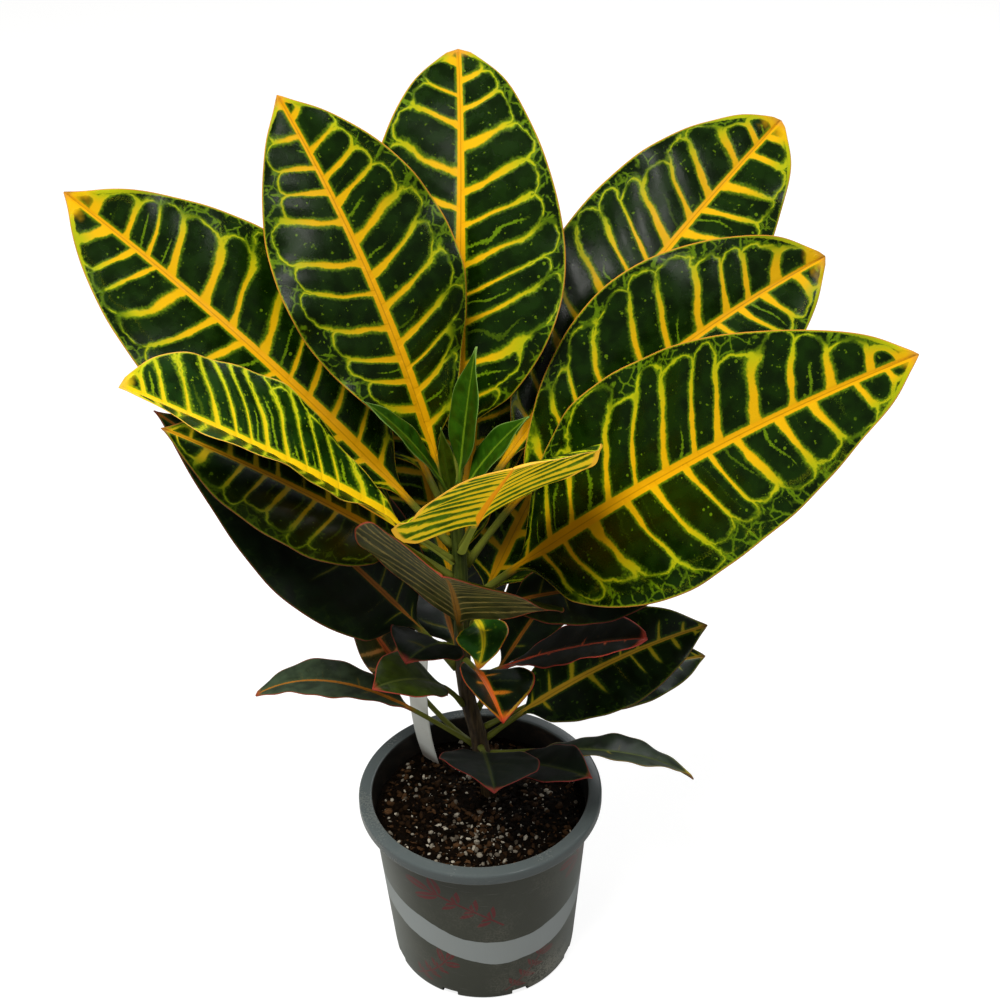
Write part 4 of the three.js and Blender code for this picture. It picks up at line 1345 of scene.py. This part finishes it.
ribbon = stripe(tree, less(tree, to_ribbon, ribbon_half), -0.15, 0.15)


def sprig_row(count, shift, row_height, lean, size):
    cell = 2 * math.pi * PRINT_RADIUS / count
    place = plus(tree, round_wall, shift)
    inside = less(tree, place, times(tree, calc(tree, "ROUND", over(tree, place, cell)), cell))
    raised = less(tree, height, row_height)
    settings = {"Across": inside, "Up": raised, "Lean": lean, "Size": size}
    return place_group(tree, sprig, settings)["Ink"]


ink = largest(tree, *(sprig_row(*row) for row in SPRIG_ROWS))
ink = times(tree, ink, less(tree, 1.0, ribbon), fade(tree, wobble, 0.3, 0.7, 0.9, 1.0))
print("printed sprigs:", sum(row[0] for row in SPRIG_ROWS))

# %% Pot: dust low on the wall
DUSTY_SIDE = 0.75
marks = place_group(tree, wear, {"Patch size": 28.0, "Dust": 0.35, "Scuffs": 0.2})
low_dust = times(tree, fade(tree, height, 26.0, 2.0), marks["Dust mask"])
to_patch = calc(tree, "ABSOLUTE", plus(tree, angle, DUSTY_SIDE))
dusty_side = times(tree, fade(tree, to_patch, 0.55, 0.1), fade(tree, height, 34.0, 6.0))
crumbs = fade(tree, plus(tree, wobble, marks["Grain"]), 0.9, 1.1)
low_dust = largest(tree, low_dust, times(tree, dusty_side, crumbs, 0.5))
dust = largest(tree, times(tree, marks["Dust mask"], 0.5), low_dust)
print("dust lies thickest at", round(math.degrees(-DUSTY_SIDE)), "degrees round the pot")

# %% Pot: materials
RIM_FROM, RIM_TO = 102.5, 103.5
rim_share = fade(tree, height, RIM_FROM, RIM_TO)
grazing = node(tree, "LayerWeight", {"Blend": 0.5}).outputs["Facing"]
wall_colour = rgb(58, 61, 50)
for share, paint in [
    (times(tree, ribbon, 0.9), rgb(168, 176, 178)),
    (ink, rgb(104, 16, 20)),
    (rim_share, rgb(82, 90, 92)),
    (dust, rgb(178, 174, 160)),
    (marks["Scuff mask"], rgb(150, 150, 142)),
    # painted sheen: the wall is drawn paler where it turns away from the eye
    (fade(tree, grazing, 0.45, 1.0, 0.0, 0.55), rgb(168, 174, 170)),
]:
    wall_colour = blend(tree, share, wall_colour, paint)
dusty_rough = fade(tree, marks["Dust mask"], 0.0, 0.5, 0.42, 0.7)
rough = calc(tree, "MULTIPLY_ADD", rim_share, -0.16, dusty_rough)
fill(tree, shader, {"Base Color": wall_colour, "Roughness": rough})
relief(tree, shader, marks["Grain"], 0.12, 0.0003)

inside_material, tree, shader = new_material("black_pot_inside")
dust = place_group(tree, wear, {"Patch size": 60.0, "Dust": 0.5, "Scuffs": 0.1})["Dust mask"]
fill(tree, shader, {
    "Base Color": blend(tree, dust, rgb(26, 25, 23), rgb(84, 66, 50)),
    "Roughness": fade(tree, dust, 0.0, 0.5, 0.4, 0.8),
})
print("pot materials ready")

# %% Pot: how a part is cut away
def cutter(name, points, faces):
    mesh = bpy.data.meshes.new(name)
    mesh.from_pydata((np.asarray(points, float) * MM).tolist(), [], faces)
    made = bpy.data.objects.new(name, mesh)
    bpy.context.scene.collection.objects.link(made)
    return made


def cut(piece, cutters):
    """Takes the cutters away from the piece, one exact Boolean at a time."""
    for tool in cutters:
        change = piece.modifiers.new("cut", "BOOLEAN")
        change.object = tool
        change.operation = "DIFFERENCE"
        change.solver = "EXACT"
    bpy.context.view_layer.update()
    result = piece.evaluated_get(bpy.context.evaluated_depsgraph_get())
    whole = bpy.data.meshes.new_from_object(result)
    piece.modifiers.clear()
    piece.data = whole
    for tool in cutters:
        bpy.data.objects.remove(tool)


print("cutting tools:", cutter.__name__, "and", cut.__name__)

# %% Pot: holes and notches
DRAINS, DRAIN_RING, DRAIN_RADIUS = 6, 34.0, 5.0
DRAIN_ENDS = np.array([[-4.0], [7.0]])
NOTCHES, NOTCH_DEPTH, NOTCH_WIDTH, NOTCH_HEIGHT = 8, 5.0, 9.0, 4.0
SHARP_ANGLE = math.radians(35)


def drain_cutter(i):
    centre = 2 * math.pi * i / DRAINS
    rings = round_points(DRAIN_RADIUS, around(24), DRAIN_ENDS)
    rings = rings + (DRAIN_RING * math.cos(centre), DRAIN_RING * math.sin(centre), 0.0)
    return cutter(f"drain_cutter_{i}", *closed_tube(rings))


def notch_cutter(i):
    centre = 2 * math.pi * (i + 0.5) / NOTCHES
    x, y, z = np.array([(x, y, z) for z in (-1, 1) for x, y in SQUARE]).T
    radius, sideways = BASE_RADIUS + NOTCH_DEPTH * x, NOTCH_WIDTH / 2 * y
    points = np.stack([
        radius * math.cos(centre) - sideways * math.sin(centre),
        radius * math.sin(centre) + sideways * math.cos(centre),
        NOTCH_HEIGHT * z,
    ], -1)
    return cutter(f"notch_cutter_{i}", *closed_tube(points.reshape(2, 4, 3)))


pot_paints = [pot_material, inside_material]
pot = new_piece("moulded_pot", shell_points, shell_faces, pot_paints, "pot_plastic", ["pot"])
cut(pot, [drain_cutter(i) for i in range(DRAINS)] + [notch_cutter(i) for i in range(NOTCHES)])
for face in pot.data.polygons:
    reach = math.hypot(face.center.x, face.center.y) / MM
    inner = wall_radius(face.center.z / MM) - 0.7 * WALL
    face.material_index = int(reach < inner and face.center.z > MM)
pot.data.shade_smooth()
pot.data.set_sharp_from_angle(angle=SHARP_ANGLE)
print("pot triangles:", triangles(pot))

# %% [markdown]
# ## Soil
# Potting soil is peat with bark chips, fibres and white perlite. A bumpy sheet alone looks like
# cloth, so the sheet only fills the gaps, and hundreds of small separate lumps lie on it. They are
# made from one low icosphere, each stretched and roughened with its own random numbers from a fixed
# seed, and joined into one mesh for the bark and one for the perlite.

# %% Soil: the bumpy sheet
SOIL_TOP, SOIL_CROWN, SOIL_FOOT = 98.0, 2.5, 2.7
SOIL_RADIUS = wall_radius(SOIL_TOP) - WALL - STEM_GAP
ROUGH_MEAN = 1.6
GRID_CELLS, GRID_MIDDLE = 159, 80
dice = np.random.default_rng(4)


def lumps(x, y, cell, seed):
    """Smooth random heights from 0 to 1, on a square grid of the given cell size."""
    table = np.random.default_rng(seed).random((GRID_CELLS + 1, GRID_CELLS + 1))
    gx, gy = x / cell + GRID_MIDDLE, y / cell + GRID_MIDDLE
    ix, iy = np.floor(gx).astype(int) % GRID_CELLS, np.floor(gy).astype(int) % GRID_CELLS
    fx, fy = smooth(gx - np.floor(gx)), smooth(gy - np.floor(gy))
    low = mix(table[ix, iy], table[ix + 1, iy], fx)
    return mix(low, mix(table[ix, iy + 1], table[ix + 1, iy + 1], fx), fy)


def soil_height(x, y):
    crown = SOIL_CROWN * (x * x + y * y) / SOIL_RADIUS**2
    wide = 0.7 * np.sin(0.19 * x + 1) * np.cos(0.23 * y)
    rough = 1.3 * lumps(x, y, 7.0, 1) + 1.0 * lumps(x, y, 2.9, 2) + 0.7 * lumps(x, y, 1.3, 3)
    return SOIL_TOP - crown + wide + rough - ROUGH_MEAN


SHEET_RINGS, SHEET_SIDES = 64, 220
angle = around(SHEET_SIDES)
radii = SOIL_RADIUS * np.linspace(1, 0.006, SHEET_RINGS)[:, None]
sheet = round_points(radii, angle, 0.0)
sheet[..., 2] = soil_height(sheet[..., 0], sheet[..., 1])
foot = round_points(wall_radius(SOIL_FOOT) - WALL - STEM_GAP, angle, SOIL_FOOT)
soil_points, soil_faces = closed_tube(np.concatenate([foot[None], sheet]))
print("soil sheet points:", len(soil_points))

# %% Soil: materials
# Crumbly peat throws almost nothing back as a sheen.
DAMP_SHEEN = 0.12
soil_material, tree, shader = new_material("peat")
spot = here(tree)
coarse = noise(tree, spot, 420.0, 6.0, 0.7)
crumbs = node(tree, "TexVoronoi", {"Vector": spot, "Scale": 700.0}).outputs["Distance"]
fill(tree, shader, {
    "Base Color": blend(tree, fade(tree, coarse, 0.3, 0.7), rgb(4, 3, 1), rgb(22, 14, 8)),
    "Roughness": fade(tree, coarse, 0.3, 0.7, 0.85, 1.0), "Specular IOR Level": DAMP_SHEEN,
})
relief(tree, shader, plus(tree, coarse, crumbs), 0.8, 0.0008)

chip_material, tree, shader = new_material("bark_chip")
tint = node(tree, "Attribute", attribute_name="tint").outputs["Fac"]
fibre = noise(tree, here(tree), 900.0, 4.0)
brown = blend(tree, tint, rgb(8, 5, 2), rgb(88, 62, 40))
fill(tree, shader, {
    "Base Color": blend(tree, fade(tree, fibre, 0.4, 0.7, 0.0, 0.5), brown, rgb(24, 16, 12)),
    "Roughness": fade(tree, fibre, 0.3, 0.7, 0.75, 0.95), "Specular IOR Level": DAMP_SHEEN,
})
relief(tree, shader, fibre, 0.5, 0.0004)

perlite_material, tree, shader = new_material("perlite")
tint = node(tree, "Attribute", attribute_name="tint").outputs["Fac"]
pits = noise(tree, here(tree), 1400.0, 3.0)
stained = blend(tree, tint, rgb(54, 44, 32), rgb(196, 188, 172))
fill(tree, shader, {
    "Base Color": blend(tree, fade(tree, pits, 0.3, 0.6, 0.5, 0.0), stained, rgb(60, 48, 36)),
    "Roughness": fade(tree, pits, 0.3, 0.7, 0.8, 0.95),
})
soil = new_piece("peat_mix", soil_points, soil_faces, [soil_material], "soil_mix", ["soil"])
print("soil sheet triangles:", triangles(soil))

# %% Soil: the lumps
EDGE_CLEARANCE, SITS_HIGHER, ROUGHENED = 3.0, 0.15, 0.35


def lump_shape():
    ball = bmesh.new()
    bmesh.ops.create_icosphere(ball, subdivisions=1, radius=1.0)
    points = np.array([v.co[:] for v in ball.verts])
    faces = np.array([[v.index for v in f.verts] for f in ball.faces])
    ball.free()
    return points, faces


def scatter(count, sizes, flatness, spread, keep):
    """Stretched, roughened and turned lumps on the soil, as points, faces and a tint for each."""
    ball, ball_faces = lump_shape()
    points, faces, tints = [], [], []
    while len(tints) < count:
        radius = (SOIL_RADIUS - EDGE_CLEARANCE) * math.sqrt(dice.random())
        turn = dice.random() * 2 * math.pi
        x, y = radius * math.cos(turn), radius * math.sin(turn)
        chance, long_half = dice.random(), mix(*sizes, dice.random() ** 2)
        squeeze = np.array([1.0, mix(0.35, 0.8, dice.random()), mix(*flatness, dice.random())])
        rough = 1 + ROUGHENED * (dice.random((len(ball), 1)) - 0.5)
        shape = ball * rough * squeeze * long_half
        spin = Matrix.Rotation(dice.random() * 2 * math.pi, 3, "Z")
        spin = np.array(spin @ Matrix.Rotation((dice.random() - 0.5) * spread, 3, "X"))
        tint = dice.random()
        if chance > keep(x, y):
            continue
        faces.append(ball_faces + len(tints) * len(ball))
        height = float(soil_height(x, y)) + SITS_HIGHER * long_half
        points.append(shape @ spin.T + (x, y, height))
        tints.append(tint)
    return np.concatenate(points), np.concatenate(faces), np.repeat(tints, len(ball))


def everywhere(x, y):
    return 1.0


def near_front(x, y):
    """How likely a grain stays: most of them lie in the front middle and front left."""
    return 0.22 + 0.78 * math.exp(-(((x + 6) / 26) ** 2 + ((y + 28) / 20) ** 2))


CHIPS = dict(count=2000, sizes=(0.4, 3.0), flatness=(0.15, 0.45), spread=1.4, keep=everywhere)
GRAINS = dict(count=520, sizes=(0.3, 2.1), flatness=(0.5, 0.9), spread=2.0, keep=near_front)
points, faces, tints = scatter(**CHIPS)
chips = new_piece("bark_chips", points, faces, [chip_material], "soil_mix")
give(chips, "tint", tints**3)
points, faces, tints = scatter(**GRAINS)
perlite = new_piece("perlite_grains", points, faces, [perlite_material], "soil_mix")
give(perlite, "tint", tints)
print("lumps:", triangles(chips), "+", triangles(perlite), "triangles")

# %% [markdown]
# ## Plant label
# A stick-in label is punched from white plastic sheet. It is left bare. The strip is lofted like
# the leaves: a flat ring with rounded edges travels from the buried point to the clipped corners.
# The leaves push it a little out of straight, so its middle follows a shallow bow.

# %% Plant label
LABEL = dict(
    width=14.0, thickness=0.8, length=122.0, buried=20.0, tip=12.0, corner=3.0, bow=-5.0,
    foot=(-28.0, 37.5), lean=(-0.5, 9.5), turn=-45.0,
)
# A painted glow stands for the light that thin white plastic lets through: the share of its colour that
# the label gives off.
LABEL_GLOW = 0.1
left_lean, front_lean = (math.radians(angle) for angle in LABEL["lean"])
label_turn = Matrix.Rotation(front_lean, 3, "X") @ Matrix.Rotation(left_lean, 3, "Y")
label_turn = label_turn @ Matrix.Rotation(math.radians(LABEL["turn"]), 3, "Z")


def squared(values):
    """A circle's cosine or sine, pushed outwards until the circle is nearly a rectangle."""
    return np.sign(values) * np.abs(values) ** 0.35


label_top = LABEL["length"] - LABEL["buried"]
up = np.linspace(-LABEL["buried"], label_top, 90)
from_point, from_head = up - up[0], up[-1] - up
half = LABEL["width"] / 2 * np.clip(from_point / LABEL["tip"], 0.02, 1)
half = half - np.maximum(0, LABEL["corner"] - from_head)
bent = up / label_top
bent = 4 * LABEL["bow"] * (bent - np.maximum(0, bent) ** 2)
angle = around(24)
strip = np.stack([
    half[:, None] * squared(np.cos(angle)),
    LABEL["thickness"] / 2 * squared(np.sin(angle)) + bent[:, None],
    up[:, None] * np.ones_like(angle),
], -1)
strip = strip @ np.array(label_turn).T + (*LABEL["foot"], SOIL_TOP)

label_material, tree, shader = new_material("white_label_plastic")
marks = place_group(tree, wear, {"Patch size": 50.0, "Dust": 0.4, "Scuffs": 0.3})
colour = blend(tree, marks["Dust mask"], rgb(226, 228, 220), rgb(190, 186, 172))
low = fade(tree, node(tree, "SeparateXYZ", {0: here(tree)}).outputs[2], 0.106, 0.098)
colour = blend(tree, times(tree, low, 0.7), colour, rgb(90, 70, 54))
fill(tree, shader, {
    "Base Color": colour, "Emission Color": colour, "Emission Strength": LABEL_GLOW,
    "Roughness": fade(tree, marks["Scuff mask"], 0.0, 0.3, 0.4, 0.6),
})
label_material.cycles.emission_sampling = "NONE"
relief(tree, shader, marks["Grain"], 0.1, 0.0002)
label_shape = closed_tube(strip)
label = new_piece("bare_label", *label_shape, [label_material], "label_plastic", ["plant_label"])
print("label triangles:", triangles(label))

# %% [markdown]
# ## Floor and backdrop finish
# A studio sheet is burnt out to white in the picture, yet throws little light back up at the plant.
# The floor is a mid grey for the light that bounces, and glows for the camera alone: the Light
# Path node tells the two apart. A soft shadow stays visible under the pot. The backdrop works the
# same way: a dim room for the light that falls on the plant, white where the camera looks past it.

# %% Floor and backdrop finish
SHOWN_GLOW = 0.85
ROOM_LIGHT = 0.17
floor_material, tree, shader = new_material("pale_floor")
soft = noise(tree, here(tree), 2.0)
seen = node(tree, "LightPath").outputs["Is Camera Ray"]
fill(tree, shader, {
    "Base Color": blend(tree, soft, rgb(150, 150, 150), rgb(156, 156, 156)), "Roughness": 0.9,
    "Specular IOR Level": 0.2, "Emission Color": (1.0, 1.0, 1.0, 1.0),
    "Emission Strength": times(tree, seen, SHOWN_GLOW),
})
floor_material.cycles.emission_sampling = "NONE"
floor.data.materials.append(floor_material)

tree = world.node_tree
seen = node(tree, "LightPath").outputs["Is Camera Ray"]
fill(tree, tree.nodes["Background"], {
    "Color": (1.0, 0.98, 0.94, 1.0),
    "Strength": calc(tree, "MULTIPLY_ADD", seen, SHOWN_GLOW, ROOM_LIGHT),
})
print("floor and backdrop ready")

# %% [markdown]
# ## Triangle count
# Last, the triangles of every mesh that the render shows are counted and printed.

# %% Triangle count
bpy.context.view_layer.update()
shown = [o for o in bpy.context.scene.objects if o.type == "MESH" and not o.hide_render]
print("all triangles:", sum(map(triangles, shown)))
